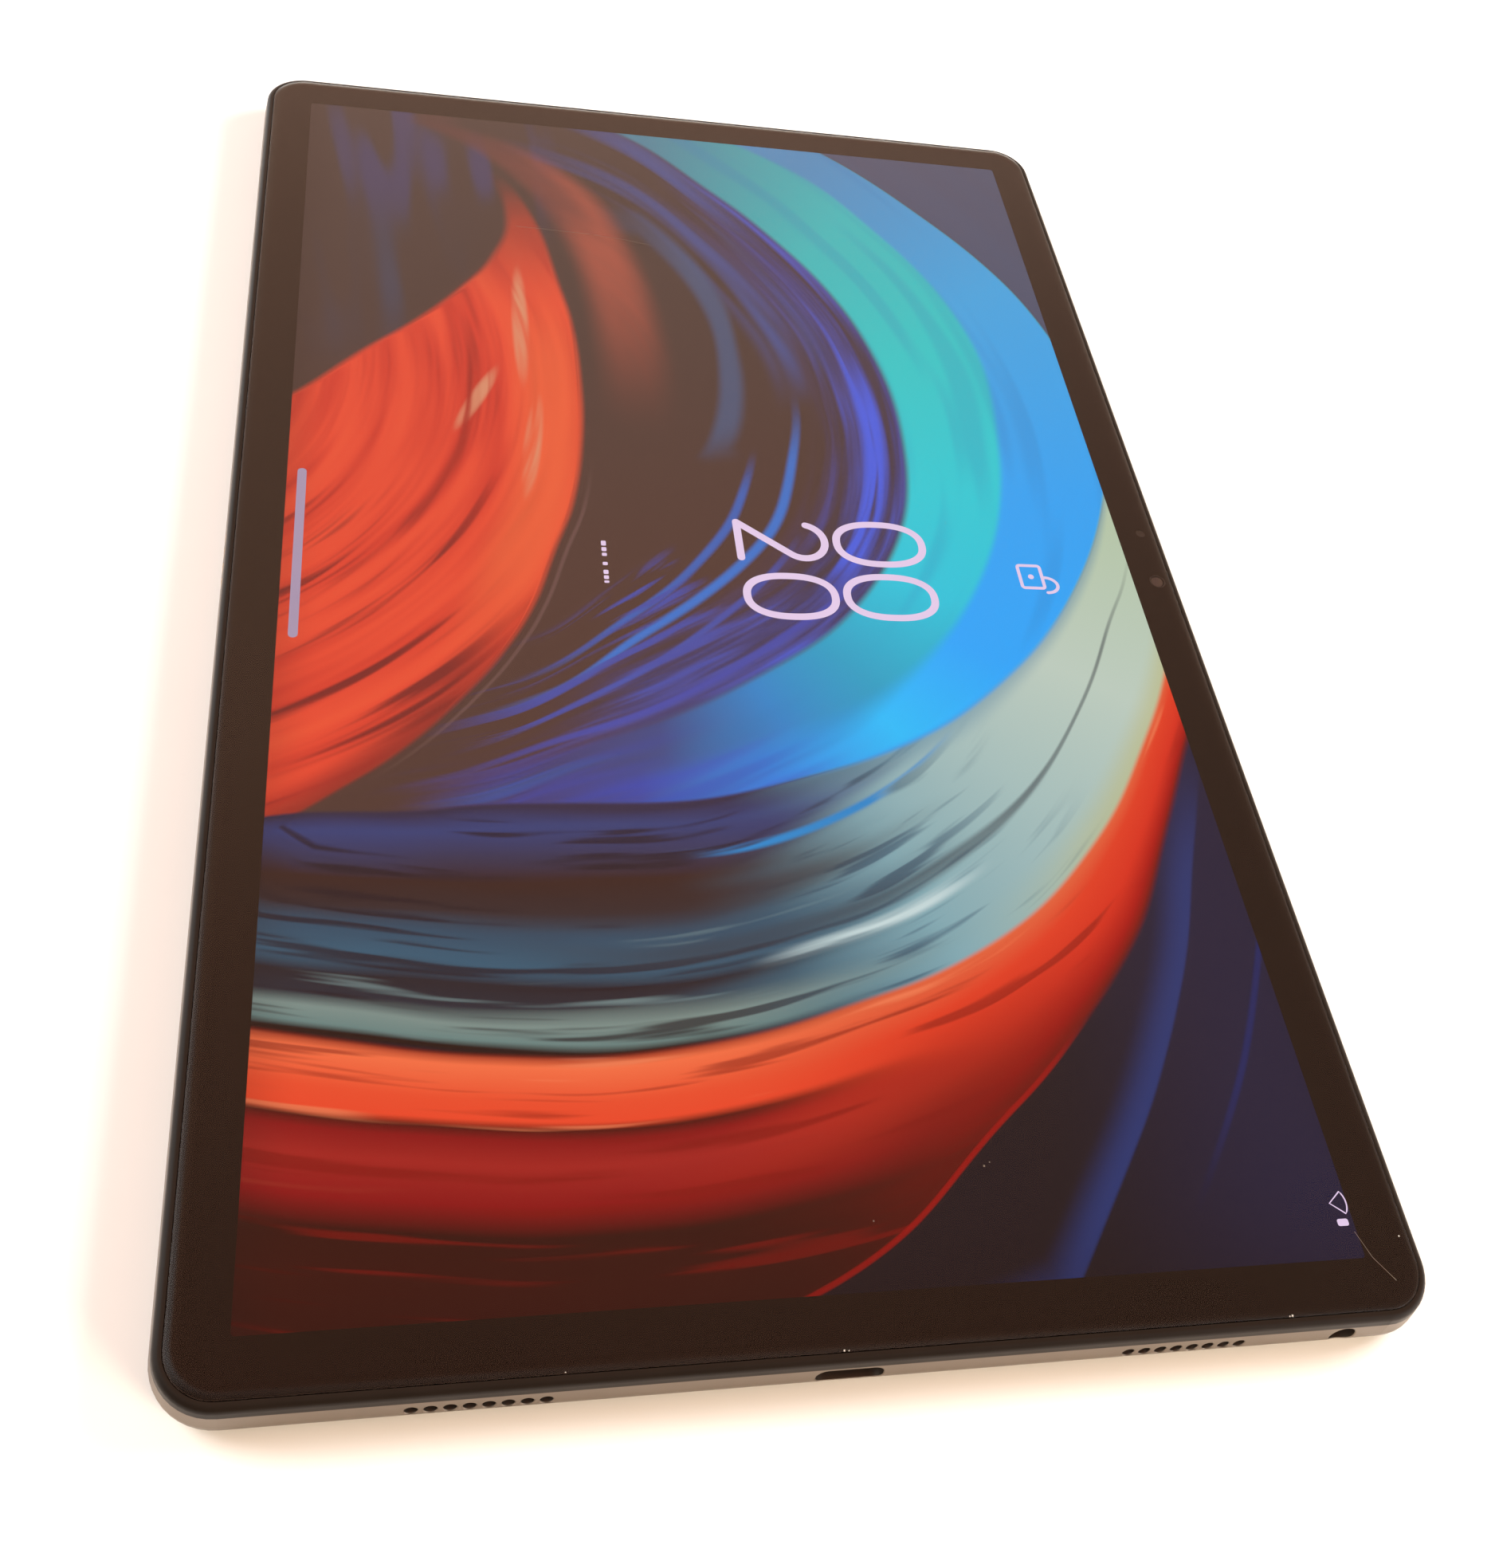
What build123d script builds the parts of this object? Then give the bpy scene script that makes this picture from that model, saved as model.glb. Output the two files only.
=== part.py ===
from build123d import *

import math
import os

os.makedirs("parts", exist_ok=True)

# A flat tablet computer that lies on its back. All sizes are in millimetres.
# X runs across the body, Y along it, Z up out of the screen. The origin is the
# centre of the back face. The charging port is in the -Y end, and the front
# camera is beside the +X side of the screen.

# ---------------------------------------------------------------- outer body
body_width = 169.4
body_length = 269.1
body_thickness = 7.4
corner_radius = 8.5
half_width = body_width / 2
half_length = body_length / 2

cover_height = 5.2
cover_edge_radius = 2.4
side_slope = 12.5
wall = 1.2
floor = 1.0
cavity_edge_radius = 1.2
cavity_width = body_width - 2 * wall
cavity_length = body_length - 2 * wall
inner_x = cavity_width / 2
inner_y = cavity_length / 2

# The sides lean inwards going up. The foot is the outline that they would have at
# the back face, if the rounded bottom edge did not cut it off.
slope_sine = math.sin(math.radians(side_slope))
slope_cosine = math.cos(math.radians(side_slope))
foot_outset = cover_edge_radius * ((1 + slope_sine) / slope_cosine - 1)
seam_inset = cover_height * slope_sine / slope_cosine - foot_outset

# --------------------------------------------------------------- front stack
ring_height = 1.75
ring_edge_radius = 1.1
ring_shelf_top = 6.5
glass_inset = 2.1
glass_gap = 0.08
glass_bottom = 6.65
glass_thickness = body_thickness - glass_bottom
glass_dome_radius = 4.0
glass_dome_drop = 0.4
glass_rim_radius = 0.12
glass_width = body_width - 2 * glass_inset
glass_length = body_length - 2 * glass_inset
glass_corner_radius = corner_radius - glass_inset

panel_width = 153.5
panel_length = 255.0
panel_corner_radius = 1.5
panel_gap = 0.25
panel_thickness = 0.5
backlight_bottom = 5.3
adhesive_margin = 0.3
adhesive_inner_gap = 0.6

plate_bottom = 4.65
plate_thickness = 0.5
plate_margin = 0.9
plate_top = plate_bottom + plate_thickness

# ------------------------------------------------- snap tabs, posts and screws
tab_length = 8.0
tab_thickness = 0.55
tab_drop = 1.3
tab_wall_gap = 0.05
tabs_low_x_side = (-110, -70, -25, 25, 70, 110)
tabs_high_x_side = (-110, -60, -18, 18, 60, 121)
tabs_end_sides = (-68, -18, 18)

post_radius = 1.9
screw_hole_radius = 0.7
screw_radius = 0.65
screw_head_radius = 1.3
plate_screw_head = 0.3
plate_screw_depth = 2.2
board_screw_head = 0.5
plate_posts = [
    (-79.5, -98),
    (-79.5, -40),
    (-79.5, 40),
    (-79.5, 98),
    (80.8, -98),
    (80.8, 40),
    (80.8, 80),
    (-30, 100),
    (30, 100),
    (0, 86),
]
board_posts = [
    (-72, -106),
    (-72, -71),
    (48, -106),
    (48, -71),
    (-20, -118),
    (20, -118),
]

# -------------------------------------------------------- openings in the side
grille_x = 46.3
grille_z = 3.3
grille_holes = 8
grille_pitch = 2.3
grille_hole_radius = 0.8

port_z = 3.2
port_width = 9.0
port_height = 3.1
jack_x = 70.0
jack_z = 3.1
jack_opening_radius = 1.85
jack_bore_radius = 1.8
rim_chamfer = 0.12
rim_search_depth = 0.8
rim_search_x = 75.0
rim_longest = 30.0
pad_depth = wall + 1.3
pad_top = 5.1
opening_depth = 4.0

button_z = 3.35
button_height = 1.7
button_gap = 0.1
button_proud = 0.15
flange_height = 2.4
flange_thickness = 0.6
power_x = 68.0
power_length = 13.0
power_travel = 0.3
volume_y = 104.0
volume_length = 22.0
volume_switch_offset = 8.0

tray_y = -85.0
tray_z = 3.35
tray_face_width = 13.0
tray_face_height = 1.9
tray_face_thickness = 1.2
tray_width = 12.6
tray_length = 16.0
tray_thickness = 1.0
tray_gap = 0.15
card_width = 11.0
card_length = 15.0
card_thickness = 0.7
pin_hole_radius = 0.45

microphone_ys = (-30, 30)
microphone_hole_radius = 0.5
contact_pitch = 3.2
contact_count = 4
contact_radius = 0.9

# ------------------------------------------------------------------ back face
window_x = 66.75
window_width = 25.5
window_length = 254.0
window_thickness = 0.7
window_corner_radius = 3.0
window_ledge = 1.5
window_gap = 0.05

rear_camera_x = 66.0
rear_camera_y = -106.0
camera_ring_radius = 5.4
camera_window_radius = 4.2
camera_ring_recess = 0.1
flash_y = -94.0
flash_radius = 1.6

# --------------------------------------------------------------------- inside
board_bottom = 1.5
board_thickness = 0.8
board_top = board_bottom + board_thickness
board_low_x = -76.0
board_high_x = 78.0
board_low_y = -110.0
board_high_y = -67.0
shield_height = 1.8
shield_wall = 0.2
usb_board_width = 48.0
usb_board_low_y = -131.5
usb_board_high_y = -113.0

cell_width = 62.0
cell_length = 140.0
cell_thickness = 3.4
cell_bottom = 1.1
cell_centre_y = 8.0
cell_centres_x = (-39.0, 25.0)

speaker_width = 33.5
speaker_depth = 15.8
speaker_bottom = 1.1
speaker_height = 3.4
speaker_centre_x = 42.75
speaker_front_y = 131.8
snout_height = 2.0
mesh_thickness = 0.22

front_camera_x = 80.0
front_camera_size = 4.8
front_camera_bottom = 2.6
front_camera_top = 6.3
light_sensor_y = 12.0
flex_thickness = 0.15


def outline(plane, x_size, y_size, radius, height):
    """A rounded slab that rises from the plane into the part being built."""
    with BuildSketch(plane) as shape:
        RectangleRounded(x_size, y_size, radius)
    extrude(shape.sketch, amount=height)


def block(low, high, mode=Mode.ADD):
    """A box between two opposite corners, into the part being built."""
    centre = [(a + b) / 2 for a, b in zip(low, high)]
    size = [b - a for a, b in zip(low, high)]
    with Locations(tuple(centre)):
        Box(*size, mode=mode)


# ----------------------------------------------------------------- rear cover
with BuildPart() as outer_form:
    with BuildSketch():
        RectangleRounded(
            body_width + 2 * foot_outset,
            body_length + 2 * foot_outset,
            corner_radius + foot_outset,
        )
    extrude(amount=cover_height, taper=side_slope)
    fillet(outer_form.faces().sort_by(Axis.Z)[0].edges(), radius=cover_edge_radius)

with BuildPart() as rear_cover:
    add(outer_form.part)
    with BuildSketch(Plane.XY.offset(floor)):
        RectangleRounded(cavity_width, cavity_length, corner_radius - wall)
    extrude(amount=cover_height, mode=Mode.SUBTRACT)
    inner_floor = rear_cover.faces().filter_by_position(Axis.Z, floor - 0.01, floor + 0.01)
    fillet(inner_floor.edges(), radius=cavity_edge_radius)

    # Posts that the support plate and the circuit boards are screwed to.
    with BuildSketch(Plane.XY.offset(floor)):
        with Locations(*plate_posts):
            Circle(post_radius)
    extrude(amount=plate_bottom - floor)
    with BuildSketch(Plane.XY.offset(floor)):
        with Locations(*board_posts):
            Circle(post_radius)
    extrude(amount=board_bottom - floor)
    with BuildSketch(Plane.XY.offset(plate_bottom)):
        with Locations(*plate_posts):
            Circle(screw_hole_radius)
    extrude(amount=-plate_screw_depth - 0.2, mode=Mode.SUBTRACT)
    with BuildSketch(Plane.XY.offset(board_bottom)):
        with Locations(*board_posts):
            Circle(screw_hole_radius)
    extrude(amount=-floor, mode=Mode.SUBTRACT)

    # Thicker pads behind the charging port and the audio jack.
    for pad_x, pad_half in ((0, port_width / 2 + 1.2), (jack_x, 3.0)):
        block(
            (pad_x - pad_half, -half_length + wall / 2, floor / 2),
            (pad_x + pad_half, -half_length + pad_depth, pad_top),
        )
    add(outer_form.part, mode=Mode.INTERSECT)

    # Speaker grilles, the same in both ends.
    with BuildSketch(Plane.XZ):
        for side in (-1, 1):
            with Locations((side * grille_x, grille_z)):
                with GridLocations(grille_pitch, 1, grille_holes, 1):
                    Circle(grille_hole_radius)
    extrude(amount=body_length, both=True, mode=Mode.SUBTRACT)

    # Charging port and audio jack in the -Y end.
    with BuildSketch(Plane.XZ.offset(half_length - opening_depth)):
        with Locations((0, port_z)):
            SlotOverall(port_width, port_height)
        with Locations((jack_x, jack_z)):
            Circle(jack_opening_radius)
    extrude(amount=opening_depth + wall, mode=Mode.SUBTRACT)

    # Soften the outer rims of the grille holes, the port and the jack.
    rims = []
    for edge in rear_cover.edges():
        reach = edge.bounding_box()
        outside = min(abs(reach.min.Y), abs(reach.max.Y)) > half_length - rim_search_depth
        near_middle = max(abs(reach.min.X), abs(reach.max.X)) < rim_search_x
        above_floor = reach.min.Z > floor
        on_seam = reach.size.Z < 0.001 and edge.length < port_width - port_height - 0.1
        if outside and near_middle and above_floor and not on_seam and edge.length < rim_longest:
            rims.append(edge)
    chamfer(rims, length=rim_chamfer)

    # Power button in the +Y end.
    with BuildSketch(Plane.XZ.offset(-half_length + opening_depth)):
        with Locations((power_x, button_z)):
            SlotOverall(power_length + 2 * button_gap, button_height + 2 * button_gap)
    extrude(amount=-opening_depth - wall, mode=Mode.SUBTRACT)

    # Volume rocker, card tray and microphones in the +X side.
    with BuildSketch(Plane.YZ.offset(half_width - opening_depth)):
        with Locations((volume_y, button_z)):
            SlotOverall(volume_length + 4 * button_gap, button_height + 2 * button_gap)
        with Locations((tray_y, tray_z)):
            SlotOverall(tray_face_width + 2 * tray_gap, tray_face_height + tray_gap)
        with Locations(*[(y, grille_z) for y in microphone_ys]):
            Circle(microphone_hole_radius)
    extrude(amount=opening_depth + wall, mode=Mode.SUBTRACT)

    # Keyboard contacts in the -X side.
    with BuildSketch(Plane.YZ.offset(-half_width + opening_depth)):
        with Locations((0, grille_z)):
            with GridLocations(contact_pitch, 1, contact_count, 1):
                Circle(contact_radius + 0.15)
    extrude(amount=-opening_depth - wall, mode=Mode.SUBTRACT)

    # Stepped opening in the back for the antenna window.
    with BuildSketch(Plane.XY):
        with Locations((window_x, 0)):
            RectangleRounded(window_width, window_length, window_corner_radius)
    extrude(amount=window_thickness, mode=Mode.SUBTRACT)
    with BuildSketch(Plane.XY):
        with Locations((window_x, 0)):
            RectangleRounded(
                window_width - 2 * window_ledge,
                window_length - 2 * window_ledge,
                window_corner_radius - window_ledge,
            )
    extrude(amount=floor, mode=Mode.SUBTRACT)
rear_cover.part.label = "rear_cover"
export_step(rear_cover.part, "parts/rear_cover.step")

with BuildPart() as antenna_window:
    with BuildSketch():
        with Locations((window_x, 0)):
            RectangleRounded(
                window_width - 2 * window_gap,
                window_length - 2 * window_gap,
                window_corner_radius - window_gap,
            )
        with Locations((rear_camera_x, rear_camera_y)):
            Circle(camera_ring_radius + window_gap, mode=Mode.SUBTRACT)
        with Locations((rear_camera_x, flash_y)):
            Circle(flash_radius + window_gap, mode=Mode.SUBTRACT)
    extrude(amount=window_thickness)
antenna_window.part.label = "antenna_window"
export_step(antenna_window.part, "parts/antenna_window.step")

# ----------------------------------------------------------------- front ring
with BuildPart() as frame_ring:
    ring_plane = Plane.XY.offset(cover_height)
    with BuildSketch(ring_plane):
        RectangleRounded(
            body_width - 2 * seam_inset, body_length - 2 * seam_inset, corner_radius - seam_inset
        )
    extrude(amount=ring_height, taper=side_slope)
    fillet(frame_ring.faces().sort_by(Axis.Z)[-1].edges(), radius=ring_edge_radius)
    with BuildSketch(ring_plane):
        RectangleRounded(
            panel_width + 2 * panel_gap, panel_length + 2 * panel_gap, panel_corner_radius
        )
        with Locations((front_camera_x, 0)):
            Rectangle(front_camera_size + 0.4, front_camera_size + 0.4)
        with Locations((front_camera_x, light_sensor_y)):
            Rectangle(2.4, 3.0)
    extrude(amount=ring_height, mode=Mode.SUBTRACT)
    with BuildSketch(Plane.XY.offset(ring_shelf_top)):
        RectangleRounded(
            glass_width + 2 * glass_gap, glass_length + 2 * glass_gap, glass_corner_radius + glass_gap
        )
    extrude(amount=ring_height, mode=Mode.SUBTRACT)

    # Snap tabs that reach down inside the cover's wall.
    tab_x = inner_x - tab_wall_gap - tab_thickness / 2
    tab_y = inner_y - tab_wall_gap - tab_thickness / 2
    with BuildSketch(ring_plane):
        with Locations(*[(-tab_x, y) for y in tabs_low_x_side]):
            Rectangle(tab_thickness, tab_length)
        with Locations(*[(tab_x, y) for y in tabs_high_x_side]):
            Rectangle(tab_thickness, tab_length)
        with Locations(*[(x, side * tab_y) for x in tabs_end_sides for side in (-1, 1)]):
            Rectangle(tab_length, tab_thickness)
    extrude(amount=-tab_drop)
frame_ring.part.label = "frame_ring"
export_step(frame_ring.part, "parts/frame_ring.step")

# ------------------------------------------------------------- display stack
# The glass curves down towards its rim, as if cut from a wider, rounder slab.
dome_outset = glass_dome_radius - math.sqrt(
    glass_dome_radius**2 - (glass_dome_radius - glass_dome_drop) ** 2
)
dome_height = glass_dome_radius + 0.5
with BuildPart() as glass_dome:
    outline(
        Plane.XY.offset(body_thickness - dome_height),
        glass_width + 2 * dome_outset,
        glass_length + 2 * dome_outset,
        glass_corner_radius + dome_outset,
        dome_height,
    )
    fillet(glass_dome.faces().sort_by(Axis.Z)[-1].edges(), radius=glass_dome_radius)

with BuildPart() as cover_glass:
    glass_plane = Plane.XY.offset(glass_bottom)
    outline(glass_plane, glass_width, glass_length, glass_corner_radius, glass_thickness)
    add(glass_dome.part, mode=Mode.INTERSECT)
    rim_height = body_thickness - glass_dome_drop
    glass_rim = cover_glass.edges().filter_by_position(Axis.Z, rim_height - 0.01, rim_height + 0.01)
    fillet(glass_rim, radius=glass_rim_radius)
cover_glass.part.label = "cover_glass"
export_step(cover_glass.part, "parts/cover_glass.step")

with BuildPart() as display_adhesive:
    with BuildSketch(Plane.XY.offset(ring_shelf_top)):
        RectangleRounded(
            glass_width - 2 * adhesive_margin,
            glass_length - 2 * adhesive_margin,
            glass_corner_radius - adhesive_margin,
        )
        RectangleRounded(
            panel_width + 2 * adhesive_inner_gap,
            panel_length + 2 * adhesive_inner_gap,
            panel_corner_radius,
            mode=Mode.SUBTRACT,
        )
        with Locations((front_camera_x, 0)):
            Circle(2.6, mode=Mode.SUBTRACT)
        with Locations((front_camera_x, light_sensor_y)):
            Circle(1.5, mode=Mode.SUBTRACT)
    extrude(amount=glass_bottom - ring_shelf_top)
display_adhesive.part.label = "display_adhesive"
export_step(display_adhesive.part, "parts/display_adhesive.step")

with BuildPart() as lcd_panel:
    panel_plane = Plane.XY.offset(glass_bottom - panel_thickness)
    outline(panel_plane, panel_width, panel_length, panel_corner_radius, panel_thickness)
lcd_panel.part.label = "lcd_panel"
export_step(lcd_panel.part, "parts/lcd_panel.step")

with BuildPart() as backlight_unit:
    backlight_height = glass_bottom - panel_thickness - backlight_bottom
    backlight_plane = Plane.XY.offset(backlight_bottom)
    outline(backlight_plane, panel_width, panel_length, panel_corner_radius, backlight_height)
backlight_unit.part.label = "backlight_unit"
export_step(backlight_unit.part, "parts/backlight_unit.step")

# The ribbon leaves the display, drops through a slot in the plate and ends on the board.
ribbon_x = 22.0
ribbon_width = 24.0
ribbon_thickness = 0.1
ribbon_slot_y = -111.6
with BuildPart() as display_flex:
    with BuildSketch(Plane.YZ.offset(ribbon_x - ribbon_width / 2)):
        with BuildLine():
            FilletPolyline(
                (-124, plate_top + 0.08),
                (ribbon_slot_y, plate_top + 0.08),
                (ribbon_slot_y, board_top + 0.9),
                (-104, board_top + 0.9),
                radius=0.7,
            )
        trace(line_width=ribbon_thickness)
    extrude(amount=ribbon_width)
    block(
        (ribbon_x - ribbon_width / 2 + 2, -107, board_top),
        (ribbon_x + ribbon_width / 2 - 2, -104, board_top + 0.9),
    )
display_flex.part.label = "display_flex"
export_step(display_flex.part, "parts/display_flex.step")

# -------------------------------------------------------------- support plate
with BuildPart() as mid_plate:
    outline(
        Plane.XY.offset(plate_bottom),
        cavity_width - 2 * plate_margin,
        cavity_length - 2 * plate_margin,
        corner_radius - wall - plate_margin,
        plate_thickness,
    )
    with BuildSketch(Plane.XY.offset(plate_bottom)):
        # Notches round the port, the jack, the front camera and the ribbon.
        with Locations((0, -inner_y + 4)):
            Rectangle(port_width + 3.4, 9.4)
        with Locations((jack_x, -inner_y + 7.5)):
            Rectangle(7.6, 15.4)
        with Locations((front_camera_x, 0)):
            Rectangle(front_camera_size + 1, front_camera_size + 1)
        with Locations((ribbon_x, ribbon_slot_y + 0.3)):
            Rectangle(ribbon_width + 1, 2.4)
        with Locations(*plate_posts):
            Circle(screw_hole_radius + 0.05)
    extrude(amount=plate_thickness, mode=Mode.SUBTRACT)
    with BuildSketch(Plane.XY.offset(plate_top)):
        with Locations(*plate_posts):
            Circle(screw_head_radius + 0.1)
    extrude(amount=-plate_screw_head, mode=Mode.SUBTRACT)
mid_plate.part.label = "mid_plate"
export_step(mid_plate.part, "parts/mid_plate.step")

with BuildPart() as plate_screws:
    with BuildSketch(Plane.XY.offset(plate_top)):
        with Locations(*plate_posts):
            Circle(screw_head_radius)
    extrude(amount=-plate_screw_head)
    with BuildSketch(Plane.XY.offset(plate_top - plate_screw_head)):
        with Locations(*plate_posts):
            Circle(screw_radius)
    extrude(amount=-plate_screw_depth)
plate_screws.part.label = "plate_screws"
export_step(plate_screws.part, "parts/plate_screws.step")

with BuildPart() as board_screws:
    with BuildSketch(Plane.XY.offset(board_top)):
        with Locations(*board_posts):
            Circle(screw_head_radius)
    extrude(amount=board_screw_head)
    with BuildSketch(Plane.XY.offset(board_top)):
        with Locations(*board_posts):
            Circle(screw_radius)
    extrude(amount=-board_thickness - 0.9)
board_screws.part.label = "board_screws"
export_step(board_screws.part, "parts/board_screws.step")

# -------------------------------------------------------------------- battery
for cell_name, cell_x in zip(("battery_cell_left", "battery_cell_right"), cell_centres_x):
    with BuildPart() as cell:
        with BuildSketch(Plane.XY.offset(cell_bottom)):
            with Locations((cell_x, cell_centre_y)):
                RectangleRounded(cell_width, cell_length, 1.5)
        extrude(amount=cell_thickness)
        fillet(cell.edges().filter_by(Axis.Z, reverse=True), radius=0.6)
    cell.part.label = cell_name
    export_step(cell.part, f"parts/{cell_name}.step")

cell_end_y = cell_centre_y - cell_length / 2
battery_board_top = 3.6
with BuildPart() as battery_board:
    block((-40, cell_end_y - 4.4, 3.0), (26, cell_end_y - 0.2, battery_board_top))
    block((-12, -74, battery_board_top), (-2, cell_end_y - 1, battery_board_top + flex_thickness))
    block((-11, -73.5, board_top), (-3, -70.5, battery_board_top))
battery_board.part.label = "battery_board"
export_step(battery_board.part, "parts/battery_board.step")

# ----------------------------------------------------------------- main board
main_posts = [p for p in board_posts if p[1] > board_low_y]
usb_posts = [p for p in board_posts if p[1] < board_low_y]

with BuildPart() as main_board:
    block((board_low_x, board_low_y, board_bottom), (board_high_x, board_high_y, board_top))
    with BuildSketch(Plane.XY.offset(board_bottom)):
        with Locations((rear_camera_x, rear_camera_y)):
            Rectangle(11, 11)
        with Locations(*main_posts):
            Circle(screw_hole_radius + 0.05)
    extrude(amount=board_thickness, mode=Mode.SUBTRACT)
main_board.part.label = "main_board"
export_step(main_board.part, "parts/main_board.step")

# Each shield is a thin can, open below, over its chip.
shields = {
    "processor_shield": ((-34, -88), (34, 32)),
    "memory_shield": ((-62, -88), (16, 26)),
    "radio_shield": ((36, -88), (20, 26)),
}
for shield_name, (centre, size) in shields.items():
    with BuildPart() as shield:
        with BuildSketch(Plane.XY.offset(board_top)):
            with Locations(centre):
                RectangleRounded(*size, 0.8)
        extrude(amount=shield_height)
        offset(
            amount=-shield_wall,
            openings=shield.faces().sort_by(Axis.Z)[0],
            mode=Mode.REPLACE,
        )
    shield.part.label = shield_name
    export_step(shield.part, f"parts/{shield_name}.step")

chips = {
    "processor_chip": ((-34, -88), (14, 14), 1.2),
    "memory_chip": ((-62, -88), (11.5, 13), 1.0),
    "radio_chip": ((36, -88), (8, 8), 0.9),
}
for chip_name, (centre, size, height) in chips.items():
    with BuildPart() as chip:
        with BuildSketch(Plane.XY.offset(board_top)):
            with Locations(centre):
                Rectangle(*size)
        extrude(amount=height)
        chamfer(chip.faces().sort_by(Axis.Z)[-1].edges(), length=0.1)
    chip.part.label = chip_name
    export_step(chip.part, f"parts/{chip_name}.step")

with BuildPart() as thermal_pad:
    pad_low = board_top + shield_height
    block((-49, -102, pad_low), (-19, -74, plate_bottom - 0.05))
thermal_pad.part.label = "thermal_pad"
export_step(thermal_pad.part, "parts/thermal_pad.step")

# ------------------------------------------------- charging board and its port
port_back_y = -inner_y + 8.2
with BuildPart() as usb_board:
    block(
        (-usb_board_width / 2, usb_board_low_y, board_bottom),
        (usb_board_width / 2, usb_board_high_y, board_top),
    )
    block(
        (-port_width / 2 - 0.2, usb_board_low_y, board_bottom),
        (port_width / 2 + 0.2, port_back_y + 0.2, board_top),
        mode=Mode.SUBTRACT,
    )
    with BuildSketch(Plane.XY.offset(board_bottom)):
        with Locations(*usb_posts):
            Circle(screw_hole_radius + 0.05)
    extrude(amount=board_thickness, mode=Mode.SUBTRACT)
usb_board.part.label = "usb_board"
export_step(usb_board.part, "parts/usb_board.step")

port_front_y = -half_length + pad_depth + 0.05
port_depth = port_back_y - port_front_y
with BuildPart() as usb_c_shell:
    with BuildSketch(Plane.XZ.offset(-port_front_y)):
        with Locations((0, port_z)):
            SlotOverall(8.94, 3.1)
    extrude(amount=-port_depth)
    with BuildSketch(Plane.XZ.offset(-port_front_y)):
        with Locations((0, port_z)):
            SlotOverall(8.34, 2.5)
    extrude(amount=-port_depth + 0.4, mode=Mode.SUBTRACT)
usb_c_shell.part.label = "usb_c_shell"
export_step(usb_c_shell.part, "parts/usb_c_shell.step")

with BuildPart() as usb_c_tongue:
    tongue_back_y = port_back_y - 0.4
    block(
        (-3.35, port_front_y + 0.6, port_z - 0.35),
        (3.35, tongue_back_y, port_z + 0.35),
    )
    fillet(usb_c_tongue.faces().sort_by(Axis.Y)[0].edges(), radius=0.15)
usb_c_tongue.part.label = "usb_c_tongue"
export_step(usb_c_tongue.part, "parts/usb_c_tongue.step")

with BuildPart() as board_link_flex:
    block((-14, -117, board_top), (-4, -106, board_top + flex_thickness))
    for plug_y in (-116.5, -109.5):
        block(
            (-13, plug_y, board_top + flex_thickness),
            (-5, plug_y + 3, board_top + flex_thickness + 0.7),
        )
board_link_flex.part.label = "board_link_flex"
export_step(board_link_flex.part, "parts/board_link_flex.step")

# The jack's body is squeezed flat above and below to fit the thin case.
jack_front_y = -half_length + pad_depth + 0.05
jack_length = 12.4
jack_body_height = 4.05
with BuildPart() as audio_jack:
    block(
        (jack_x - 3.2, jack_front_y, jack_z - jack_body_height / 2),
        (jack_x + 3.2, jack_front_y + jack_length + 1, jack_z + jack_body_height / 2),
    )
    fillet(audio_jack.edges().filter_by(Axis.Y), radius=0.8)
    with BuildSketch(Plane.XZ.offset(-jack_front_y)):
        with Locations((jack_x, jack_z)):
            Circle(jack_bore_radius)
    extrude(amount=-jack_length, mode=Mode.SUBTRACT)
audio_jack.part.label = "audio_jack"
export_step(audio_jack.part, "parts/audio_jack.step")

# ------------------------------------------------------------------- speakers
grille_span = grille_pitch * (grille_holes - 1) + 2 * grille_hole_radius
corners = {
    "near_left": (-1, -1),
    "near_right": (1, -1),
    "far_left": (-1, 1),
    "far_right": (1, 1),
}
for corner_name, (x_side, y_side) in corners.items():
    back_y = speaker_front_y - speaker_depth
    mesh_back_y = inner_y - 0.03 - mesh_thickness
    with BuildPart() as speaker:
        with BuildSketch(Plane.XY.offset(speaker_bottom)):
            with Locations((x_side * speaker_centre_x, y_side * (speaker_front_y + back_y) / 2)):
                RectangleRounded(speaker_width, speaker_depth, 1.2)
        extrude(amount=speaker_height)
        with BuildSketch(Plane.XZ.offset(-y_side * (speaker_front_y - 1))):
            with Locations((x_side * grille_x, grille_z)):
                RectangleRounded(grille_span + 1.2, snout_height, 0.4)
        extrude(amount=-y_side * (mesh_back_y - 0.05 - speaker_front_y + 1))
        with BuildSketch(Plane.XZ.offset(-y_side * (mesh_back_y - 0.05))):
            with Locations((x_side * grille_x, grille_z)):
                RectangleRounded(grille_span, snout_height - 0.8, 0.3)
        extrude(amount=y_side * 6, mode=Mode.SUBTRACT)
        with BuildSketch(Plane.XY.offset(speaker_bottom + speaker_height)):
            with Locations((x_side * (speaker_centre_x - 4), y_side * (back_y + 6.5))):
                SlotOverall(18, 9)
        extrude(amount=-0.5, mode=Mode.SUBTRACT)
    speaker.part.label = f"speaker_{corner_name}"
    export_step(speaker.part, f"parts/speaker_{corner_name}.step")

    with BuildPart() as mesh:
        with BuildSketch(Plane.XZ.offset(-y_side * mesh_back_y)):
            with Locations((x_side * grille_x, grille_z)):
                RectangleRounded(grille_span + 1.0, snout_height, 0.4)
        extrude(amount=-y_side * mesh_thickness)
    mesh.part.label = f"speaker_mesh_{corner_name}"
    export_step(mesh.part, f"parts/speaker_mesh_{corner_name}.step")

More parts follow.
